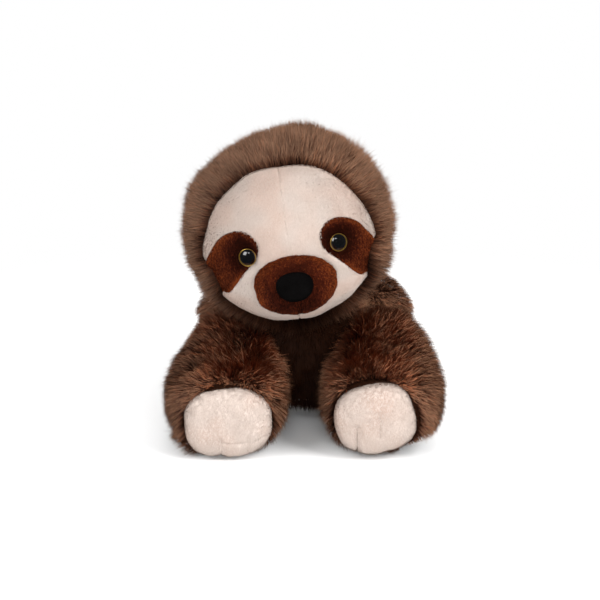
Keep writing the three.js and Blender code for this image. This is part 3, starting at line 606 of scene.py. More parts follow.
def node(made, kind, links=(), stops=(), **settings):
    """Adds one node with its settings, of which in_ and a socket's number or name sets an input. Links are
    (input, source node, output) triples, and stops a colour ramp's (place, hex) pairs."""
    tree = made.node_tree
    n = tree.nodes.new(kind)
    for key, value in settings.items():
        if key.startswith("in_"):
            n.inputs[int(key[3:]) if key[3:].isdigit() else key[3:].replace("_", " ")].default_value = value
        else:
            setattr(n, key, value)
    for where, source, output in links:
        tree.links.new(source.outputs[output], n.inputs[where])
    if stops:
        bar = n.color_ramp.elements
        while len(bar) < len(stops):
            bar.new(0.5)
        for element, (place, code) in zip(bar, stops):
            element.position, element.color = place, srgb(code)
    return n


def into(made, socket, source, output=0):
    """Links a node to one of the shader's sockets."""
    made.node_tree.links.new(source.outputs[output], made.node_tree.nodes["Principled BSDF"].inputs[socket])


# Long-pile plush: polyester fur, knitted into a backing and combed. Roots lie in shade and tips catch light.
def fur_material(name, root, middle, tip, warm):
    made = material(name, middle, 0.7, Specular_IOR_Level=0.14)
    uv = node(made, "ShaderNodeUVMap", uv_map="pile")
    split = node(made, "ShaderNodeSeparateXYZ", [(0, uv, 0)])
    length = node(made, "ShaderNodeValToRGB", [("Fac", split, "Y")], [(0.0, root), (0.45, middle), (1.0, tip)])
    # The tone ramp's dark end, 2c2c2c, is reached mostly where the tone is painted shade.
    tone = node(made, "ShaderNodeValToRGB", [("Fac", split, "X")], [(0.0, "2c2c2c"), (0.5, "b4b4b4"), (1.0, "ffffff")])
    mixed = node(made, "ShaderNodeMix", [(6, length, 0), (7, tone, 0)], **MULTIPLY)
    warmth = node(made, "ShaderNodeValToRGB", [("Fac", split, "X")],
                  [(0.0, warm), (0.35, "ffffff"), (0.7, "ffffff"), (1.0, warm)])
    into(made, "Base Color", node(made, "ShaderNodeMix", [(6, mixed, 2), (7, warmth, 0)], **MULTIPLY), 2)
    return made


# Knitted polyester backing of the fur, seen only between hairs: dark, dull and slightly uneven.
def backing_material(name, dark, light):
    made = material(name, dark, 0.95, Specular_IOR_Level=0.03)
    where = node(made, "ShaderNodeTexCoord")
    grain = node(made, "ShaderNodeTexNoise", [("Vector", where, "Object")], in_Scale=900.0, in_Detail=3.0)
    into(made, "Base Color", node(made, "ShaderNodeValToRGB", [("Fac", grain, "Fac")], [(0.35, dark), (0.7, light)]))
    return made


# Short plush, a cut pile of 2 mm. A hair's root lies in shade, and hairs differ, so that the pile looks softly
# grained and brushing leaves clouds.
def plush_material(name, root, dark, middle, light, blush="ffffff"):
    made = material(name, middle, 0.9, Specular_IOR_Level=0.05)
    uv = node(made, "ShaderNodeUVMap", uv_map="pile")
    split = node(made, "ShaderNodeSeparateXYZ", [(0, uv, 0)])
    length = node(made, "ShaderNodeValToRGB", [("Fac", split, "Y")], [(0.0, root), (0.55, "ffffff"), (1.0, "ffffff")])
    tone = node(made, "ShaderNodeValToRGB", [("Fac", split, "X")], [(0.12, dark), (0.5, middle), (0.88, light)])
    mixed = node(made, "ShaderNodeMix", [(6, length, 0), (7, tone, 0)], **MULTIPLY)
    where = node(made, "ShaderNodeTexCoord")
    clouds = node(made, "ShaderNodeTexNoise", [("Vector", where, "Object")], in_Scale=34.0, in_Detail=1.0)
    warm = node(made, "ShaderNodeValToRGB", [("Fac", clouds, "Fac")], [(0.42, "ffffff"), (0.62, blush)])
    into(made, "Base Color", node(made, "ShaderNodeMix", [(6, mixed, 2), (7, warm, 0)], **MULTIPLY), 2)
    return made


# The plush's knitted ground under its pile, with the same soft clouds and a fine nap in the bump.
def ground_material(name, dark, light, bump=0.25):
    made = material(name, light, 0.95, Specular_IOR_Level=0.05)
    where = node(made, "ShaderNodeTexCoord")
    clouds = node(made, "ShaderNodeTexNoise", [("Vector", where, "Object")], in_Scale=70.0, in_Detail=4.0)
    into(made, "Base Color", node(made, "ShaderNodeValToRGB", [("Fac", clouds, "Fac")], [(0.3, dark), (0.7, light)]))
    nap = node(made, "ShaderNodeTexNoise", [("Vector", where, "Object")], in_Scale=1400.0, in_Detail=2.0)
    into(made, "Normal", node(made, "ShaderNodeBump", [("Height", nap, "Fac")], in_Strength=bump, in_Distance=0.0006))
    return made


# Hard moulded pieces. Fine dust and wear, in marks of 1 / scale metres, make their shine slightly uneven.
def worn_material(name, colour, scale, detail, low, high, **sockets):
    made = material(name, colour, (low + high) / 2, **sockets)
    where = node(made, "ShaderNodeTexCoord")
    dust = node(made, "ShaderNodeTexNoise", [("Vector", where, "Object")], in_Scale=scale, in_Detail=detail)
    into(made, "Roughness", node(made, "ShaderNodeMapRange", [(0, dust, "Fac")], in_3=low, in_4=high))
    return made


# Gilt ring: thin brass, rolled, bright along its edge and slightly tarnished in clouds.
def brass_material(name):
    made = material(name, "dcb45a", 0.36, Metallic=0.9)
    where = node(made, "ShaderNodeTexCoord")
    worn = node(made, "ShaderNodeTexNoise", [("Vector", where, "Object")], in_Scale=260.0, in_Detail=3.0)
    shade = node(made, "ShaderNodeValToRGB", [("Fac", worn, "Fac")], [(0.3, "cc9f44"), (0.7, "ecc66c")])
    into(made, "Base Color", shade)
    return made


head_hair = fur_material("polyester_fur_combed_head", "321b11", "6f4834", "ab8369", "fbdcc6")
body_hair = fur_material("polyester_fur_combed_body", "3b2415", "885943", "b68869", "f8d4bf")
backing = backing_material("knitted_backing_brown", "160a05", "26130a")
cream_plush = [plush_material("short_plush_cream_pile", "f4ebe6", "b3a59c", "bfb2a9", "cbbfb7", "fff6f2"),
               ground_material("short_plush_cream_ground", "bcaea5", "c9bcb3")]
rust_plush = [plush_material("short_plush_rust_pile", "8a7a74", "180603", "36130a", "7a3a1b"),
              ground_material("short_plush_rust_ground", "2c0f07", "44190b")]
# Flocked nose: short black fibres blown on to a moulded form, dull, with a faint grain.
nose_flock = [plush_material("flocked_black_nose_pile", "a0a0a0", "010101", "030303", "070607"),
              ground_material("flocked_black_nose_ground", "040303", "090808", 0.4)]
# Safety eye: black acrylic with a polished clear dome, so that lamps show in it as small windows.
eye_black = worn_material("acrylic_black_polished", "050505", 500.0, 2.0, 0.12, 0.22, Specular_IOR_Level=0.5,
                          Coat_Weight=1.0, Coat_Roughness=0.015)
ring_gold = brass_material("brass_ring_rolled")
# Moulded nylon lock washer behind the cloth: white, half dull.
washer_white = worn_material("moulded_nylon_washer", "d8d6d0", 300.0, 2.0, 0.3, 0.5)
# Polyester filling: white matted fibre, never seen while the seams hold.
filling = ground_material("polyester_fibre_filling", "c9c9c6", "efefec", 0.8)
# Sewing thread: twisted, dull, a little fuzzy.
thread_cream = ground_material("cotton_thread_cream", "d8c0b4", "ecd8cc", 0.5)
thread_brown = ground_material("polyester_thread_brown", "1d120c", "3a261b", 0.5)


# ---------------------------------------------------------------- the face's outlines, on the unrolled ball

def face_outline():
    """The mask's outline as shares of the mask's radius, in the head's frame, clockwise from the top."""
    half = [(0, 0.605), (0.19, 0.6), (0.34, 0.56), (0.47, 0.49), (0.6, 0.385), (0.7, 0.27), (0.78, 0.16),
            (0.84, 0.04), (0.885, -0.08), (0.905, -0.18), (0.88, -0.26), (0.83, -0.34), (0.8, -0.46),
            (0.775, -0.58), (0.76, -0.68), (0.7, -0.82), (0.58, -0.98), (0.36, -1.1), (0, -1.14)]
    return half + [(-x, z) for x, z in half[-2:0:-1]]


def patch_outline(side):
    """One eye patch's outline, in the same shares."""
    half = [(0.56, 0.025), (0.66, 0), (0.745, -0.055), (0.81, -0.13), (0.87, -0.2), (0.92, -0.3), (0.9, -0.42),
            (0.84, -0.54), (0.76, -0.6), (0.69, -0.6), (0.62, -0.54), (0.555, -0.475), (0.5, -0.42),
            (0.43, -0.36), (0.36, -0.29), (0.325, -0.2), (0.335, -0.11), (0.39, -0.03), (0.47, 0.015)]
    return [(side * x, z) for x, z in half]


def to_flat(x, z):
    """Unrolls the ball round the face's pole: a place's distance from the pole is kept along the ball."""
    r = np.hypot(x, z)
    angle = np.arcsin(np.clip(r / MASK, 0, 0.9995))
    k = np.where(r > 1e-6, angle * MASK / np.maximum(r, 1e-6), 1.0)
    return x * k, z * k


def on_ball(flat, rise):
    """Rolls flat places back on to the mask's ball, raised by rise, in the head's frame."""
    r = np.hypot(flat[:, 0], flat[:, 1])
    angle = r / MASK
    k = np.where(r > 1e-6, np.sin(angle) / np.maximum(r, 1e-6), 1 / MASK)
    way = np.stack([flat[:, 0] * k, -np.cos(angle), flat[:, 1] * k], -1)
    return way * (MASK + rise)[:, None]


def flat_outline(outline, samples):
    """A smooth closed outline through the points, on the unrolled ball, evenly sampled."""
    pts = np.array(outline) * MASK
    n = len(pts)
    t = np.arange(samples) * n / samples
    i = t.astype(int)
    smooth = catmull_rom(pts[(i - 1) % n], pts[i % n], pts[(i + 1) % n], pts[(i + 2) % n], (t - i)[:, None])
    return np.stack(to_flat(smooth[:, 0], smooth[:, 1]), -1)


def inside_distance(points, outline):
    """Distance of flat points to a closed outline, positive inside: the least distance to its sides, signed by
    how often a ray to the right crosses it."""
    a, b = outline, np.roll(outline, -1, 0)
    side = b - a
    off = points[:, None] - a[None]
    share = np.clip((off * side[None]).sum(-1) / (side**2).sum(-1)[None], 0, 1)
    far = np.linalg.norm(off - side[None] * share[..., None], axis=-1).min(1)
    py = points[:, 1][:, None]
    spans = (a[None, :, 1] > py) != (b[None, :, 1] > py)
    rise = np.where(np.abs(side[:, 1]) < 1e-9, 1e-9, side[:, 1])
    cross = a[None, :, 0] + (py - a[None, :, 1]) / rise[None] * side[None, :, 0]
    odd = ((spans & (points[:, 0][:, None] < cross)).sum(1) % 2) == 1
    return np.where(odd, far, -far)


STEP, SPAN = 0.8, 108.0  # the flat grid's spacing and how far it reaches from the face's pole, in mm
CELLS = int(2 * SPAN / STEP) + 1
FLAT_LINE = np.arange(CELLS) * STEP - SPAN
FLAT_GRID = np.stack(np.meshgrid(FLAT_LINE, FLAT_LINE), -1).reshape(-1, 2)


def distance_field(outline, batch=6000):
    """An outline's distance at every place of the flat grid, some thousand places at a time."""
    far = [inside_distance(FLAT_GRID[i:i + batch], outline) for i in range(0, len(FLAT_GRID), batch)]
    return np.concatenate(far).reshape(CELLS, CELLS)


MASK_FIELD = distance_field(flat_outline(face_outline(), 220))
PATCH_FIELD = np.maximum(*(distance_field(flat_outline(patch_outline(s), 120)) for s in (1, -1)))


def read_field(field, flat):
    """A distance read between the four nearest places of its grid."""
    place = np.clip((flat + SPAN) / STEP, 0, CELLS - 1.001)
    i = place.astype(int)
    w = place - i
    x, y, wx, wy = i[:, 0], i[:, 1], w[:, 0], w[:, 1]
    return ((field[y, x] * (1 - wx) + field[y, x + 1] * wx) * (1 - wy)
            + (field[y + 1, x] * (1 - wx) + field[y + 1, x + 1] * wx) * wy)


def mask_distance(points):
    """How far places on the head lie inside the mask's outline, in mm, positive inside. Behind the face it is
    far outside."""
    local = to_head(points)
    local = local / np.linalg.norm(local, axis=-1, keepdims=True) * MASK
    d = read_field(MASK_FIELD, np.stack(to_flat(local[:, 0], local[:, 2]), -1))
    return np.where(local[:, 1] < -2.0, d, -np.abs(local[:, 1]) - 3.0)


# ---------------------------------------------------------------- where the fur grows

HEAD_INSET, BODY_INSET = 11.5, 7.3  # how deep the roots lie below the solids' skin, in mm


def head_grows(side):
    """Fur covers each side of the head's middle seam but for the mask."""
    return lambda points: (mask_distance(points) < -1.5) & (side * to_head(points)[:, 0] >= 0)


def off_end(end, facing, margin):
    """Fur grows on a limb but for what its pad or sole covers. The end faces along y or against it."""
    def grows(points):
        local = pad_local(points, end)
        across, up = end["half"][0] + margin, end["half"][2] + margin
        return ~((facing * local[:, 1] > -4) & ((local[:, 0] / across) ** 2 + (local[:, 2] / up) ** 2 < 1))
    return grows


def limb_sources(form, shape, grows, centre, radius, ball_share):
    """A limb's two cloths: its tube, furred outside the joint's ball, and the ball, furred outside the tube."""
    def off_ball(points):
        return grows(points) & (np.linalg.norm(points - centre, axis=-1) > radius - BODY_INSET - 0.5)

    def off_tube(points):
        return grows(points) & (swollen_depth(form, points) < BODY_INSET + 1.5)
    return [(shape, BODY_INSET, 0.85, off_ball), (ball_at(centre, radius), BODY_INSET, ball_share, off_tube)]


# ---------------------------------------------------------------- which way the fur lies

def head_comb(points, normals):
    """Fur lies away from the face, over the crown to the back, and down at the back and sides."""
    local = to_head(points)
    middle = np.array([0.0, -60.0, -14.0])
    away = unit((local - middle) * np.array([1.0, 0.25, 1.0])) @ HEAD_TURN.T
    back = smoothstep(-10, 55, local[:, 1])[:, None]
    return tangent_part(away * (1 - back) + np.array([0.0, 0.35, -1.0]) * back, normals)


def torso_comb(points, normals):
    """Fur lies back along the body and down its sides, and straight down on the chest."""
    front = smoothstep(-5, -35, points[:, 1])[:, None]
    return tangent_part(np.array([0, 0.9, -0.6]) * (1 - front) + np.array([0, -0.2, -1.0]) * front, normals)


def leg_comb(points, normals):
    """Fur lies back and down along the legs."""
    return tangent_part(np.array([0, 0.9, -0.5]) + np.zeros_like(points), normals)


def paw_corner(side, local):
    """1 at the paw's lower outer corner, falling to 0 away from it. local is in the pad's frame."""
    return (smoothstep(45, 10, local[:, 1]) * smoothstep(-6, -18, local[:, 2])
            * smoothstep(8, 22, side * local[:, 0]))


def arm_comb(side):
    def comb(points, normals):
        """Fur lies forward and down over the sleeve, loosely swirled, hangs ruffled round the pad, and behind the
        shoulder runs back into the body's."""
        local = pad_local(points, PAD[side])
        outwards = np.stack([local[:, 0], np.zeros(len(points)), local[:, 2]], -1)
        forward = np.array([side * 0.35, -0.45, -0.75])
        cuff = smoothstep(26, 8, local[:, 1])[:, None]
        way = forward * (1 - cuff) + (unit(outwards) * 0.40 + np.array([side * 0.15, -0.25, -0.6])) * cuff
        way = way + smoothstep(18, 42, points[:, 1])[:, None] * np.array([0.0, 1.2, -0.1])
        if side < 0:
            way = way + paw_corner(side, local)[:, None] * np.array([-1.6, -0.5, 0.5])
        way = way + waves3(points, 17.0, 141 + side) * 0.13 + waves3(points, 8.0, 151 + side) * 0.05
        return tangent_part(way, normals)
    return comb


# ---------------------------------------------------------------- how long the pile is, and how it leans

def depth_in_head(points):
    """How deep places lie in the head's ball, in mm."""
    return HEAD_FUR - np.linalg.norm(points - HEAD, axis=-1)


def depth_in_limbs(points):
    """How deep places lie in the arms, the shoulders, the legs or the hips, in mm."""
    balls = [radius - np.linalg.norm(points - centre[s], axis=-1)
             for centre, radius in ((SHOULDER, SHOULDER_BALL), (HIP, HIP_BALL)) for s in (1, -1)]
    return np.max(balls + [swollen_depth(form[s], points) for form in (ARM, LEG) for s in (1, -1)], axis=0)


def pressed(points, normals, depth):
    """The share of their length that hairs keep where the floor or a neighbour, which they lie this deep in,
    presses the pile short. A lifted limb shows this pile."""
    under = smoothstep(-0.75, -0.93, normals[:, 2]) * smoothstep(20, 13, points[:, 2])
    return (1 - 0.42 * under) * (1 - 0.55 * smoothstep(6, 11, depth))


def head_pile(points, normals):
    """The head's pile: upright and even, but longer where it hangs down at the sides of the jaw."""
    local = to_head(points)
    low = smoothstep(-20, -55, local[:, 2]) * smoothstep(-60, -30, local[:, 1])
    rim = smoothstep(7, 0, -mask_distance(points))
    full = smoothstep(0.78, 0.97, unit(points - HEAD) @ unit(np.array([0.80, -0.1, 0.58])))
    longer = (1 + 0.45 * low - 0.18 * rim + 0.22 * full) * pressed(points, normals, swollen_depth(TORSO, points))
    return longer, 0.5 + 0.7 * low


def torso_pile(points, normals):
    """The body's pile: longer and upright round the neck and beside the limbs, where it fills the groove of
    the seam, and lying back elsewhere."""
    high = smoothstep(75, 95, points[:, 2]) * smoothstep(60, 20, points[:, 1])
    deep = depth_in_limbs(points)
    beside = smoothstep(-12, -3, deep) * smoothstep(0, 20, points[:, 1])
    longer = (1 + 0.35 * high + 0.35 * beside) * pressed(points, normals, np.maximum(deep, depth_in_head(points)))
    return longer, 0.75 - 0.35 * high - 0.3 * beside


def leg_pile(points, normals):
    """The legs' pile: even, and short only where something presses on it."""
    return pressed(points, normals, swollen_depth(TORSO, points)), np.full(len(points), 0.75)


def arm_pile(side):
    def pile(points, normals):
        """The arm's pile: upright over the shoulder, but combed down behind it, where it runs on into the body's,
        and lying down along the sleeve. At the cuff nothing presses it."""
        x, y, z = points.T
        high, top, behind = smoothstep(58, 90, z), smoothstep(72, 86, z), smoothstep(20, 42, y)
        waist = smoothstep(50, 58, z) * smoothstep(76, 66, z) * smoothstep(62, 80, -x)
        corner = paw_corner(side, pad_local(points, PAD[side]))
        longer = 1 + 0.12 * high - 0.12 * smoothstep(-78, -100, y) - 0.40 * top - 0.35 * waist - 0.6 * side * corner
        share = pressed(points, normals, np.maximum(depth_in_head(points), swollen_depth(TORSO, points)))
        share = share + (1 - share) * smoothstep(-80, -95, y)
        lean = 0.8 - 0.35 * high * (1 - behind) + 0.45 * top + 0.5 * behind
        return longer * share * (1 + 0.15 * behind), lean
    return pile


def out_of_head(points, roots):
    """Draws the arms' hairs back towards their roots where they lie deep in the head."""
    over = np.clip((depth_in_head(points) - 5.0) / 8.0, 0, 1)[:, None]
    return points * (1 - over) + (roots + (points - roots) * 0.35) * over


# ---------------------------------------------------------------- how light the fur is, with painted light and shade

def plain_tone(points):
    """Even fur."""
    return np.full(len(points), 0.5)


def chest_painted_shade_tone(points):
    """Deep on the chest, under the chin and between the arms, little light reaches the fur, so its tone is painted
    dark there: painted shade."""
    deep = smoothstep(5, -25, points[:, 1]) * smoothstep(45, 25, np.abs(points[:, 0]))
    return 0.5 - 0.48 * deep


def head_painted_shade_tone(points):
    """The head's fur is even, but painted dark under the chin: painted shade."""
    x, y, z = to_head(points).T
    return 0.5 - 0.38 * smoothstep(-45, -66, z) * smoothstep(45, 15, np.abs(x)) * smoothstep(20, 0, y)


def arm_painted_light_tone(points):
    """The sleeve's fur is painted lighter higher up, lightest along its inner top and at the cuff, and deeper outside:
    painted light on the upper arm, where the head shades it.
    """
    x, y, z = points.T
    inner = smoothstep(84, 62, np.abs(x)) * smoothstep(-5, -35, y) * smoothstep(30, 58, z)
    return 0.45 + 0.11 * smoothstep(30, 75, z) + 0.32 * inner + 0.10 * inner * smoothstep(-60, -95, y)


# ---------------------------------------------------------------- the fur

HEAD_LOOK = dict(length=13.2, stray=0.15, width=(0.25, 0.44), gather=0.18, ruffle=0.85, comb=head_comb,
                 shape=head_pile, tone=head_painted_shade_tone, materials=[head_hair, backing])
BODY_LOOK = dict(length=10.8, stray=0.17, width=(0.25, 0.44), gather=0.12, ruffle=0.6, comb=torso_comb,
                 shape=torso_pile, tone=chest_painted_shade_tone, materials=[body_hair, backing], pressed_share=0.42)
LEG_LOOK = dict(BODY_LOOK, comb=leg_comb, shape=leg_pile, tone=plain_tone)
HAIRS = int(62000 * density)


def furred(name, sources, count, look, seed, node_name, body):
    """One furred piece in its place."""
    dress(pelt(name, sources, count, look, seed), node_name, body)


for side, word in SIDES:
    furred(f"head_fur_{word}", [(head_ball, HEAD_INSET, 2.0, head_grows(side))], HAIRS, HEAD_LOOK, 11 + side,
           "head_skin", "head")
furred("torso_fur", [(torso_shape, BODY_INSET, 1.0, lambda points: np.full(len(points), True))], HAIRS, BODY_LOOK, 21,
       "torso_skin", "torso")
for side, word in SIDES:
    arm = limb_sources(ARM[side], limb_shape(ARM[side], 0.80, 5.0), off_end(PAD[side], -1, 0.5),
                       SHOULDER[side], SHOULDER_BALL, 0.2)
    arm_look = dict(BODY_LOOK, gather=0.06, ruffle=0.42, comb=arm_comb(side), shape=arm_pile(side), tone=arm_painted_light_tone,
                    trim=out_of_head)
    furred(f"arm_{word}_fur", arm, int(HAIRS * 1.12), arm_look, 31 + side, f"arm_{word}_skin", f"arm_{word}")
    leg = limb_sources(LEG[side], limb_shape(LEG[side], 0.75, 6.0), off_end(SOLE[side], 1, -1),
                       HIP[side], HIP_BALL, 0.15)
    furred(f"leg_{word}_fur", leg, HAIRS * 3 // 4, LEG_LOOK, 41 + side, f"leg_{word}_skin", f"leg_{word}")


# ---------------------------------------------------------------- the face

FACE_HAIRS = int(60000 * density)
PANELS = {  # which way each panel's pile lies, its length, hairs, seed, finish and slot
    "forehead": ((0.0, -0.6, -1.0), 1.9, FACE_HAIRS, 61, cream_plush, "short_plush_cream"),
    "cheek": ((0.0, 0.3, -1.0), 1.9, FACE_HAIRS * 2 // 3, 71, cream_plush, "short_plush_cream"),
    "eye_patch": ((0.0, -0.2, -1.0), 1.7, FACE_HAIRS // 2, 81, rust_plush, "short_plush_rust"),
}
CLOTH = 1.6                             # the panels' thickness, in mm
RUST_GRAIN = 2.6                        # the rust pile's tones are this many times coarser than the cream's
EYE_DIP, EYE_DIP_REACH = 1.3, 8.5       # how deep the eyes press into the face's cloth, and how far round them
EYE_CLEAR = 6.2                         # no pile grows so near an eye's middle
FRAY = 0.4                              # how far hairs stray over a panel's edge
LENGTHS, WIDTHS = (0.75, 1.15), (0.26, 0.42)    # the cut pile's lengths, as shares, and widths in mm


def eye_seat(side):
    """Where one eye sits in the head's frame, and the way out of the cloth there."""
    x, z = EYE_AT[side]
    out = unit(np.array([x, -math.sqrt(MASK**2 - x**2 - z**2), z]))
    return out * (MASK + 0.3), out


def muzzle_edge(flat):
    """How far places on the ball lie outside the muzzle's egg, in mm."""
    off = (on_ball(flat, np.zeros(len(flat))) - MUZZLE) / MUZZLE_HALF
    return (np.linalg.norm(off, axis=-1) - 1) * MUZZLE_HALF[1]


def seams_near(flat):
    """Distances of flat places to the seams: into the mask, into the nearer patch, out of the muzzle, and the
    places across and up in the head's frame."""
    ball = on_ball(flat, np.zeros(len(flat)))
    return read_field(MASK_FIELD, flat), read_field(PATCH_FIELD, flat), muzzle_edge(flat), ball[:, 0], ball[:, 2]


def face_rise(flat):
    """How the face's cloth rises and falls about its ball: rolled down into every seam, dipped round the eyes,
    and softly lumpy with its stuffing."""
    mask, patch, muzzle, across, up = seams_near(flat)
    ball = on_ball(flat, np.zeros(len(flat)))
    rise = -CLOTH - 0.6 * fold(mask + TUCK, 1.6) - 0.9 * fold(patch, 2.4) - 1.5 * fold(muzzle, 4.5)
    rise -= (0.04 + 0.55 * smoothstep(22, 42, up)) * fold(across, 1.8) * (up > CHEEK_SEAM)
    rise -= 0.35 * fold(across, 1.6) * (up <= CHEEK_SEAM) + 0.3 * fold(up - CHEEK_SEAM, 1.6)
    for side in (1, -1):
        seat, _ = eye_seat(side)
        rise -= EYE_DIP * np.exp(-(np.linalg.norm(ball - seat, axis=-1) / EYE_DIP_REACH) ** 2)
    return rise + 0.40 * waves(ball, 26.0, 3) + 0.10 * waves(ball, 9.0, 4)


def panel_distance(kind, side, flat):
    """How far flat places lie inside one panel's own outline, in mm."""
    mask, patch, muzzle, across, up = seams_near(flat)
    mask = mask + TUCK
    if kind == "eye_patch":
        return np.minimum(np.minimum(patch, mask), side * across)
    half = np.minimum(np.minimum(mask, -patch), np.minimum(muzzle + TUCK, side * across))
    return np.minimum(half, up - CHEEK_SEAM if kind == "forehead" else CHEEK_SEAM - up)


def panel_sheet(kind, side):
    """One panel's flat places and quads: the fine grid cut along the panel's outline. Places close to it, inside
    or just outside, are drawn on to it down the distance's slope, so that its edges run clean."""
    d = panel_distance(kind, side, FLAT_GRID)
    close = np.abs(d) < 1.2
    e = 0.05
    slope = np.stack([panel_distance(kind, side, FLAT_GRID[close] + np.array(way) * e) - d[close]
                      for way in ((1, 0), (0, 1))], -1) / e
    slope /= np.maximum((slope**2).sum(-1, keepdims=True), 0.2)
    snap = np.abs(d[close]) < STEP * 0.55
    flat = FLAT_GRID.copy()
    flat[close] -= slope * (d[close] * snap)[:, None]
    quads = grid_faces(CELLS, CELLS, False)
    quads = quads[(d > -STEP * 0.55)[quads].all(1)]
    used, quads = np.unique(quads, return_inverse=True)
    return flat[used], quads.reshape(-1, 4)


def face_panel(name, kind, side):
    """One sewn panel: its cloth, rolled on to the ball and given thickness, with its cut pile on it. Hairs fray
    a little over its edges and leave the eye's seat free. A patch is light along its rim and dark at the eye."""
    lie_way, length, hairs, seed, finish, _ = PANELS[kind]
    seed += side
    rng = np.random.default_rng(seed)
    flat, quads = panel_sheet(kind, side)
    rise = face_rise(flat)
    cloth = thicken(on_ball(flat, rise), on_ball(flat, rise - CLOTH), quads)
    low, high = flat.min(0), flat.max(0)
    flat = low + rng.random((hairs, 2)) * (high - low)
    flat = flat[panel_distance(kind, side, flat) > rng.normal(0, FRAY, hairs)]
    roots = on_ball(flat, face_rise(flat))
    e = 0.3
    across, up = (on_ball(flat + way, face_rise(flat + way)) - roots
                  for way in (np.array([[e, 0.0]]), np.array([[0.0, e]])))
    normals = unit(np.cross(across, up))
    normals *= np.sign((normals * roots).sum(-1, keepdims=True))
    off_eye = np.all([np.linalg.norm(roots - eye_seat(s)[0], axis=-1) > EYE_CLEAR for s in (1, -1)], axis=0)
    flat, roots, normals = flat[off_eye], roots[off_eye], normals[off_eye]
    ways = pile_ways(roots, normals, lie_way, 0.1, seed, rng)
    lengths = length * rng.uniform(*LENGTHS, len(roots))
    tone, grain = 0.55, 1.0
    if kind == "eye_patch":
        off = np.linalg.norm(roots - eye_seat(side)[0], axis=-1)
        tone = tone + 0.26 * smoothstep(6, 1, read_field(PATCH_FIELD, flat)) - 0.50 * smoothstep(27, 6, off)
        grain = RUST_GRAIN
    tone = pile_tone(roots, tone, grain, 0.10, seed, rng)
    widths = rng.uniform(*WIDTHS, len(roots))
    return plush_piece(name, roots, normals, ways, lengths, widths, tone, cloth, finish, True, rng)


def piled_form(name, shape, grid, finish, hairs, length, lie_way, seed, keep, tone=0.55, grain=1.0,
               width=WIDTHS, in_head=False):
    """A closed stuffed form with its cut pile: hairs stand on it where keep says, leaning along lie_way. The tone
    is a number, or a function of the roots."""
    rng = np.random.default_rng(seed)
    cloth = closed_form(shape, *grid, 0.0)
    roots, normals, _, _ = surface_at(shape, *scatter(shape, 0.0, int(hairs * density), rng), 0.0)
    alive = keep(roots, normals)
    roots, normals = roots[alive], normals[alive]
    ways = pile_ways(roots, normals, lie_way, 0.2, seed, rng)
    tone = pile_tone(roots, tone(roots) if callable(tone) else tone, grain, 0.08, seed, rng)
    lengths = length * rng.uniform(*LENGTHS, len(roots))
    widths = rng.uniform(*width, len(roots))
    return plush_piece(name, roots, normals, ways, lengths, widths, tone, cloth, finish, in_head, rng)


def egg(t, a, half, face_power, outline):
    """A rounded form facing -Y. The outline is a superellipse, and the face's power below 1 flattens it."""
    x, z = bowed(np.cos(a), 2 / outline), bowed(np.sin(a), 2 / outline)
    y = -bowed(np.cos(np.pi * t), face_power)
    ring = np.maximum(np.sin(np.pi * t), 0) ** face_power
    return np.stack([x * ring * half[0], y * half[1], z * ring * half[2]], -1)


def muzzle_shape(t, a, inset):
    """The muzzle's egg, softly lumpy, with a seam pressed in below the nose; its back lies on the head's ball."""
    bed = 63.0
    p = egg(t, a, MUZZLE_HALF + np.array([-0.5, -1.2, 0.2]), 0.92, 2.1) + MUZZLE + np.array([-0.3, 0, 1.2])
    out = unit(p - MUZZLE)
    dent = 0.5 * waves(p, 16.0, 51) + 0.25 * waves(p, 7.0, 52)
    below = smoothstep(-48, -56, p[:, 2])
    dent -= 1.6 * fold(p[:, 0] - MUZZLE[0] - 0.6, 2.6) * below * (p[:, 1] < -50)
    p = p + out * dent[:, None]
    far = np.linalg.norm(p, axis=-1)
    low = np.maximum(far, bed + 0.2 * np.minimum(far - bed, 0))
    return p * (low / np.maximum(far, 1e-6))[:, None]


def muzzle_tone_and_painted_shade(points):
    """Lighter along the muzzle's rims, dark round the nose, and painted darker below, where shade falls: painted
    shade.
    """
    off = points - MUZZLE
    rim = np.hypot(off[:, 0] / MUZZLE_HALF[0], off[:, 2] / MUZZLE_HALF[2])
    nose = np.hypot((points[:, 0] - 1) / NOSE_HALF[0], (points[:, 2] + 41.7) / NOSE_HALF[2])
    return (0.50 + 0.26 * smoothstep(0.6, 1.0, rim) - 0.22 * smoothstep(1.7, 1.0, nose)
            - 0.26 * smoothstep(-2, -16, off[:, 2]))


def nose_shape(t, a, inset):
    """The nose: a rounded oval button, flatter along its top, lying on the muzzle."""
    p = egg(t, a, NOSE_HALF, 0.72, 2.25)
    p[:, 2] = np.where(p[:, 2] > 0, p[:, 2] * (0.96 - 0.05 * (1 - (p[:, 0] / NOSE_HALF[0]) ** 2)), p[:, 2])
    p[:, 0] *= 1 - 0.10 * smoothstep(0, -10, p[:, 2])
    p[:, 1] += 0.018 * p[:, 0] ** 2
    return p + NOSE


def lathe(name, profile, seat, out, finish, sides=64):
    """A turned part: its profile of (radius, height) pairs run round the axis that leaves the seat along out. A
    profile that doesn't start and end on the axis is a closed ring's."""
    profile = np.array(profile, float)
    a = np.linspace(0, 2 * np.pi, sides, endpoint=False)
    u = unit(np.cross(out, UP))
    v = np.cross(out, u)
    ring = u[None] * np.cos(a)[:, None] + v[None] * np.sin(a)[:, None]
    on_axis = profile[:, 0] < 1e-6
    radii, heights = profile[~on_axis].T
    points = (ring[None] * radii[:, None, None] + out * heights[:, None, None]).reshape(-1, 3)
    capped = on_axis.any()
    quads = grid_faces(len(radii), sides, True, looped=not capped)
    triangles = cap_faces(len(radii), sides) if capped else np.zeros((0, 3), int)
    points = np.concatenate([points, out * profile[on_axis][:, 1, None]])
    return new_mesh(name, from_head(points + seat), outward(points, quads, triangles), [finish])


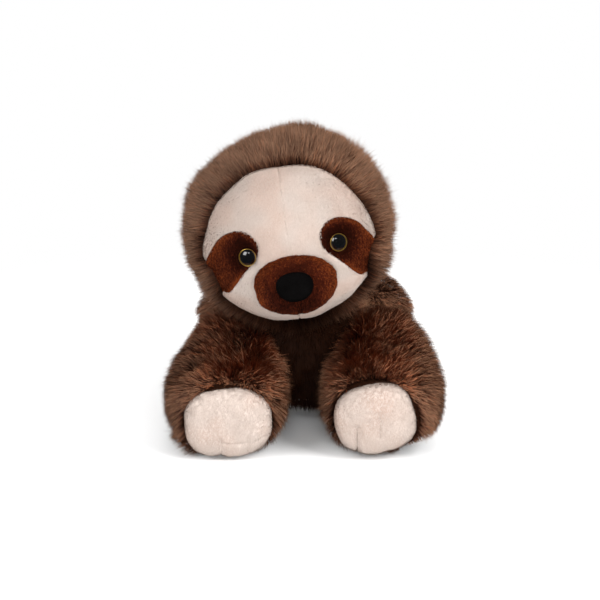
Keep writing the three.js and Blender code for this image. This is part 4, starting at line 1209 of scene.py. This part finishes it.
def safety_eye(side, word):
    """A domed button whose stem goes through the cloth, and the rolled ring that peeps out below it. Both look a
    little more forward than the cloth."""
    seat, out = eye_seat(side)
    out = unit(out * 0.65 + np.array([0.0, -0.35, 0.0]))
    dome = [(5.6 * math.sin(v), 3.8 * math.cos(v)) for v in np.linspace(0, np.pi / 2, 18)[1:]]
    stem = [(5.5, -0.6), (1.6, -1.0), (1.6, -8.2), (0, -8.2)]
    button = lathe(f"eye_{word}_button", [(0, 3.8)] + dome + stem, seat, out, eye_black)
    down = unit(np.array([side * 0.8, 0.0, -0.9]))
    down = down - out * (down @ out)
    roll = [(5.78 + 0.34 * math.cos(v), 0.25 + 0.55 * math.sin(v))
            for v in np.linspace(0, 2 * np.pi, 12, endpoint=False)]
    ring = lathe(f"eye_{word}_ring", roll, seat + down * 0.5, out, ring_gold)
    dress(button, f"eye_{word}", "head")
    dress(ring, f"eye_ring_{word}", "head")


for side, word in SIDES:
    for kind, (*_, slot) in PANELS.items():
        dress(face_panel(f"{kind}_{word}_plush", kind, side), f"{kind}_{word}", "head")
    safety_eye(side, word)
dress(piled_form("muzzle_plush", muzzle_shape, (90, 128), rust_plush, 26000, 1.9, (0, 0.2, -1), 91,
                 lambda p, n: np.linalg.norm(p, axis=-1) > 65.5, muzzle_tone_and_painted_shade, RUST_GRAIN, in_head=True),
      "muzzle", "head")
dress(piled_form("nose_flocked", nose_shape, (60, 96), nose_flock, 9000, 0.7, (0, 0, -1), 93,
                 lambda p, n: n[:, 1] < 0.5, width=(0.18, 0.28), in_head=True),
      "nose", "head")


# ---------------------------------------------------------------- pads and soles

def pad_half(side):
    """A pad's half sizes without its pile."""
    return np.array(PAD[side]["half"]) - np.array(PAD[side]["less"])


def pad_shape(side):
    pad = PAD[side]

    def shape(t, a, inset):
        """A stuffed pad: a rounded pillow with a full face, pressed in along its two toe seams and the soft
        folds between them."""
        p = turned(egg(t, a, pad_half(side), 0.74, pad["square"]), pad["lean"], 0, 2)
        dent = np.zeros(len(p))
        for at, (low, high), deep in pad["seams"]:
            run = smoothstep(high + 3, high - 3, p[:, 2]) * smoothstep(low - 3, low + 3, p[:, 2])
            dent += deep * (0.55 * fold(p[:, 0] - at, 1.7) + 0.95 * fold(p[:, 0] - at, 7.0)) * run
        for at, (low, high), rise, deep in pad["folds"]:
            run = smoothstep(low - 3, low + 3, p[:, 0]) * smoothstep(high + 3, high - 3, p[:, 0])
            dent += deep * fold(p[:, 2] - at - rise * (p[:, 0] - low), 2.6) * run
        dent = dent * smoothstep(4, -6, p[:, 1]) - 0.3 * waves(p, 24.0, 101 + side) - 0.12 * waves(p, 9.0, 103 + side)
        return turned(p - unit(p) * dent[:, None], pad["turn"], 0, 1) + np.array(pad["at"])
    return shape


def sole_shape(side):
    sole = SOLE[side]

    def shape(t, a, inset):
        """A stuffed sole, facing back: a rounded oval pillow."""
        p = egg(t, a, np.array(sole["half"]), 0.85, 2.2)
        p = p + unit(p) * (0.7 * waves(p, 18.0, 107 + side))[:, None]
        return p * np.array([1, -1, 1]) + np.array(sole["at"])
    return shape


def tube(line, radius, sides=8):
    """A round thread along a line of points, with closed ends: points, quads and end triangles."""
    tangent = unit(np.gradient(line, axis=0))
    u = unit(np.cross(tangent, np.array([0.3, -1.0, 0.2])))
    v = np.cross(tangent, u)
    a = np.linspace(0, 2 * np.pi, sides, endpoint=False)
    rings = line[:, None] + radius * (u[:, None] * np.cos(a)[None, :, None] + v[:, None] * np.sin(a)[None, :, None])
    points = np.concatenate([rings.reshape(-1, 3), line[[0, -1]]])
    rows = len(line)
    return points, *outward(points - line.mean(0), grid_faces(rows, sides, True), cap_faces(rows, sides))


def toe_stitches(name, side, at, low, high):
    """A row of small stitches sunk in one toe seam of a pad: the thread dips under the cloth between them."""
    pad, half = PAD[side], pad_half(side)
    # The line's steps: in all, from one stitch to the next, along one stitch, and between its rings of points.
    steps, every, long, skip = 400, 46, 30, 5
    z = np.linspace(high, max(low, -20.0), steps)
    share = 1 - np.clip((np.abs(at) / half[0]) ** 2 + (np.abs(z) / half[2]) ** 2, 0, 0.96)
    front = -half[1] * share ** 0.40 + 0.9
    line = turned(np.stack([np.full_like(z, at), front, z], -1), pad["turn"], 0, 1) + np.array(pad["at"])
    parts = [tube(line[start:start + long:skip], 0.24) for start in range(0, 380, every)]
    shifts = np.cumsum([0] + [len(part[0]) for part in parts])
    faces = [np.concatenate([part[k] + shift for part, shift in zip(parts, shifts)]) for k in (1, 2)]
    return new_mesh(name, np.concatenate([part[0] for part in parts]), faces, [thread_cream])


for side, word in SIDES:
    inner = 0 if side > 0 else 1
    for which, k in (("inner", inner), ("outer", 1 - inner)):
        at, run, _ = PAD[side]["seams"][k]
        dress(toe_stitches(f"toe_stitch_{word}_{which}_thread", side, at, *run), f"toe_stitch_{word}_{which}",
              f"arm_{word}")
    # The pads' cream pile takes tone 0.28 against the face's 0.55: painted shade that dims the same plush where the
    # lamps light it more.
    dress(piled_form(f"paw_pad_{word}_plush", pad_shape(side), (110, 150), cream_plush, 31000, 1.8, (0, -0.7, -1),
                     111 + side, lambda p, n: n[:, 1] < 0.75, 0.28),
          f"paw_pad_{word}", f"arm_{word}")
    dress(piled_form(f"foot_sole_{word}_plush", sole_shape(side), (80, 110), cream_plush, 11000, 1.8, (0, 0.7, -1),
                     121 + side, lambda p, n: n[:, 1] > -0.75),
          f"foot_sole_{word}", f"leg_{word}")


# ---------------------------------------------------------------- what the cloth hides

def stuffing(body, shape, inset=14.0):
    """A body's filling: the skin's form drawn in, lumpy with clumps of fibre."""
    def lumpy(t, a, _):
        p = shape(t, a, inset)
        return p + unit(p - p.mean(0)) * (1.1 * waves(p, 15.0, 131) + 0.5 * waves(p, 5.0, 133) - 1.0)[:, None]
    points, *faces = closed_form(lumpy, 60, 72, 0.0)
    made = new_mesh(f"{body}_stuffing_fibre", points, faces, [filling])
    dress(made, f"{body}_stuffing", body)


def finish_node(name, made):
    """Gives its material to a CAD node that stays."""
    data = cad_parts[name].data
    data.materials.clear()
    data.materials.append(made)
    for polygon in data.polygons:
        polygon.material_index = 0


stuffing("head", head_ball, 16.0)
stuffing("torso", torso_shape)
for side, word in SIDES:
    stuffing(f"arm_{word}", lambda t, a, inset: swollen(ARM[side], t, a, inset))
    stuffing(f"leg_{word}", lambda t, a, inset: swollen(LEG[side], t, a, inset))
    finish_node(f"eye_washer_{word}", washer_white)
finish_node("neck_seam_thread", thread_brown)


# ---------------------------------------------------------------- stage, light and camera

def floor_material():
    """Paper: near white to the camera and pale grey to everything else, so that it throws little light up. Polished
    things mirror it dark, and it fades out 30 to 55 cm from the toy."""
    made = material("floor_paper", "ffffff", 1.0, Specular_IOR_Level=0.0)
    path = node(made, "ShaderNodeLightPath")
    pick = node(made, "ShaderNodeMix", [(0, path, "Is Camera Ray")], data_type="RGBA", in_6=srgb("e4e4e4"),
                in_7=srgb("f2f2f2"))
    shown = node(made, "ShaderNodeMix", [(0, path, "Is Glossy Ray"), (6, pick, 2)], data_type="RGBA",
                 in_7=srgb("23262e"))
    into(made, "Base Color", shown, 2)
    where = node(made, "ShaderNodeTexCoord")
    far = node(made, "ShaderNodeVectorMath", [(0, where, "Object")], operation="LENGTH")
    fade = node(made, "ShaderNodeMapRange", [(0, far, 1)], in_1=0.30, in_2=0.55, interpolation_type="SMOOTHSTEP")
    clear = node(made, "ShaderNodeBsdfTransparent")
    shader = made.node_tree.nodes["Principled BSDF"]
    mix = node(made, "ShaderNodeMixShader", [(0, fade, 0), (1, shader, 0), (2, clear, 0)])
    made.node_tree.links.new(mix.outputs[0], made.node_tree.nodes["Material Output"].inputs["Surface"])
    return made


def stage(reach=6.0):
    """A pale floor and a white studio, which is dim to everything but the camera, and dark in a mirror."""
    mesh = bpy.data.meshes.new("floor")
    corners = [(-reach, -reach, 0), (reach, -reach, 0), (reach, reach, 0), (-reach, reach, 0)]
    mesh.from_pydata(corners, [], [(0, 1, 2, 3)])
    mesh.materials.append(floor_material())
    floor = bpy.data.objects.new("floor", mesh)
    bpy.context.scene.collection.objects.link(floor)
    world = bpy.data.worlds.new("studio")
    bpy.context.scene.world = world
    world.use_nodes = True
    path = node(world, "ShaderNodeLightPath")
    lit = world.node_tree.nodes["Background"]
    lit.inputs["Color"].default_value = srgb("ffffff")
    lit.inputs["Strength"].default_value = 0.5
    seen = node(world, "ShaderNodeBackground", in_Color=srgb("ffffff"), in_Strength=1.0)
    dark = node(world, "ShaderNodeBackground", in_Color=srgb("f4f6ff"), in_Strength=0.05)
    other = node(world, "ShaderNodeMixShader", [(0, path, "Is Glossy Ray"), (1, lit, 0), (2, dark, 0)])
    mix = node(world, "ShaderNodeMixShader", [(0, path, "Is Camera Ray"), (1, other, 0), (2, seen, 0)])
    world.node_tree.links.new(mix.outputs[0], world.node_tree.nodes["World Output"].inputs["Surface"])


def lamp(name, place, target, size, power, mirrored=True):
    """A softbox at a place, facing its target. Polished things mirror it only if mirrored."""
    data = bpy.data.lights.new(name, "AREA")
    data.shape = "RECTANGLE"
    data.size, data.size_y = size
    data.energy = power
    lit = bpy.data.objects.new(name, data)
    lit.visible_glossy = mirrored
    lit.location = place
    lit.rotation_euler = (Vector(target) - Vector(place)).to_track_quat("-Z", "Y").to_euler()
    bpy.context.scene.collection.objects.link(lit)


def photo_camera(look_at, away, tilt, focal, frame_width=600.0):
    """The photograph's camera: its aim point, distance and height angle, and its focal length in the photo's
    pixels."""
    data = bpy.data.cameras.new("camera")
    data.sensor_width = 36.0
    data.lens = focal * data.sensor_width / frame_width
    camera = bpy.data.objects.new("camera", data)
    bpy.context.scene.collection.objects.link(camera)
    back_off = Vector((0, -math.cos(tilt), math.sin(tilt)))
    camera.location = look_at + back_off * away
    camera.rotation_euler = (-back_off).to_track_quat("-Z", "Y").to_euler()
    bpy.context.scene.camera = camera


stage()
lamp("softbox_left", (-1.1, -0.8, 0.95), (0, 0, 0.1), (0.95, 0.95), 16)
lamp("softbox_right", (1.1, -0.75, 0.95), (0, 0, 0.1), (0.85, 0.85), 27, False)
lamp("softbox_window", (-0.12, -1.15, 1.25), (0, 0, 0.1), (0.4, 0.3), 2.5)
lamp("softbox_fill", (0.1, -1.5, 0.33), (0, 0, 0.06), (0.9, 0.4), 15, False)
lamp("softbox_top", (0, 0.15, 1.5), (0, 0, 0.1), (1.1, 1.1), 2.5, False)
lamp("softbox_behind", (0.2, 1.5, 0.7), (0, 0.1, 0.08), (1.0, 0.8), 15, False)
photo_camera(Vector((-3.7, 0.0, 85.0)) * MM, 1.1, math.radians(15), 1467.0)
bpy.context.scene.view_settings.view_transform = "Standard"
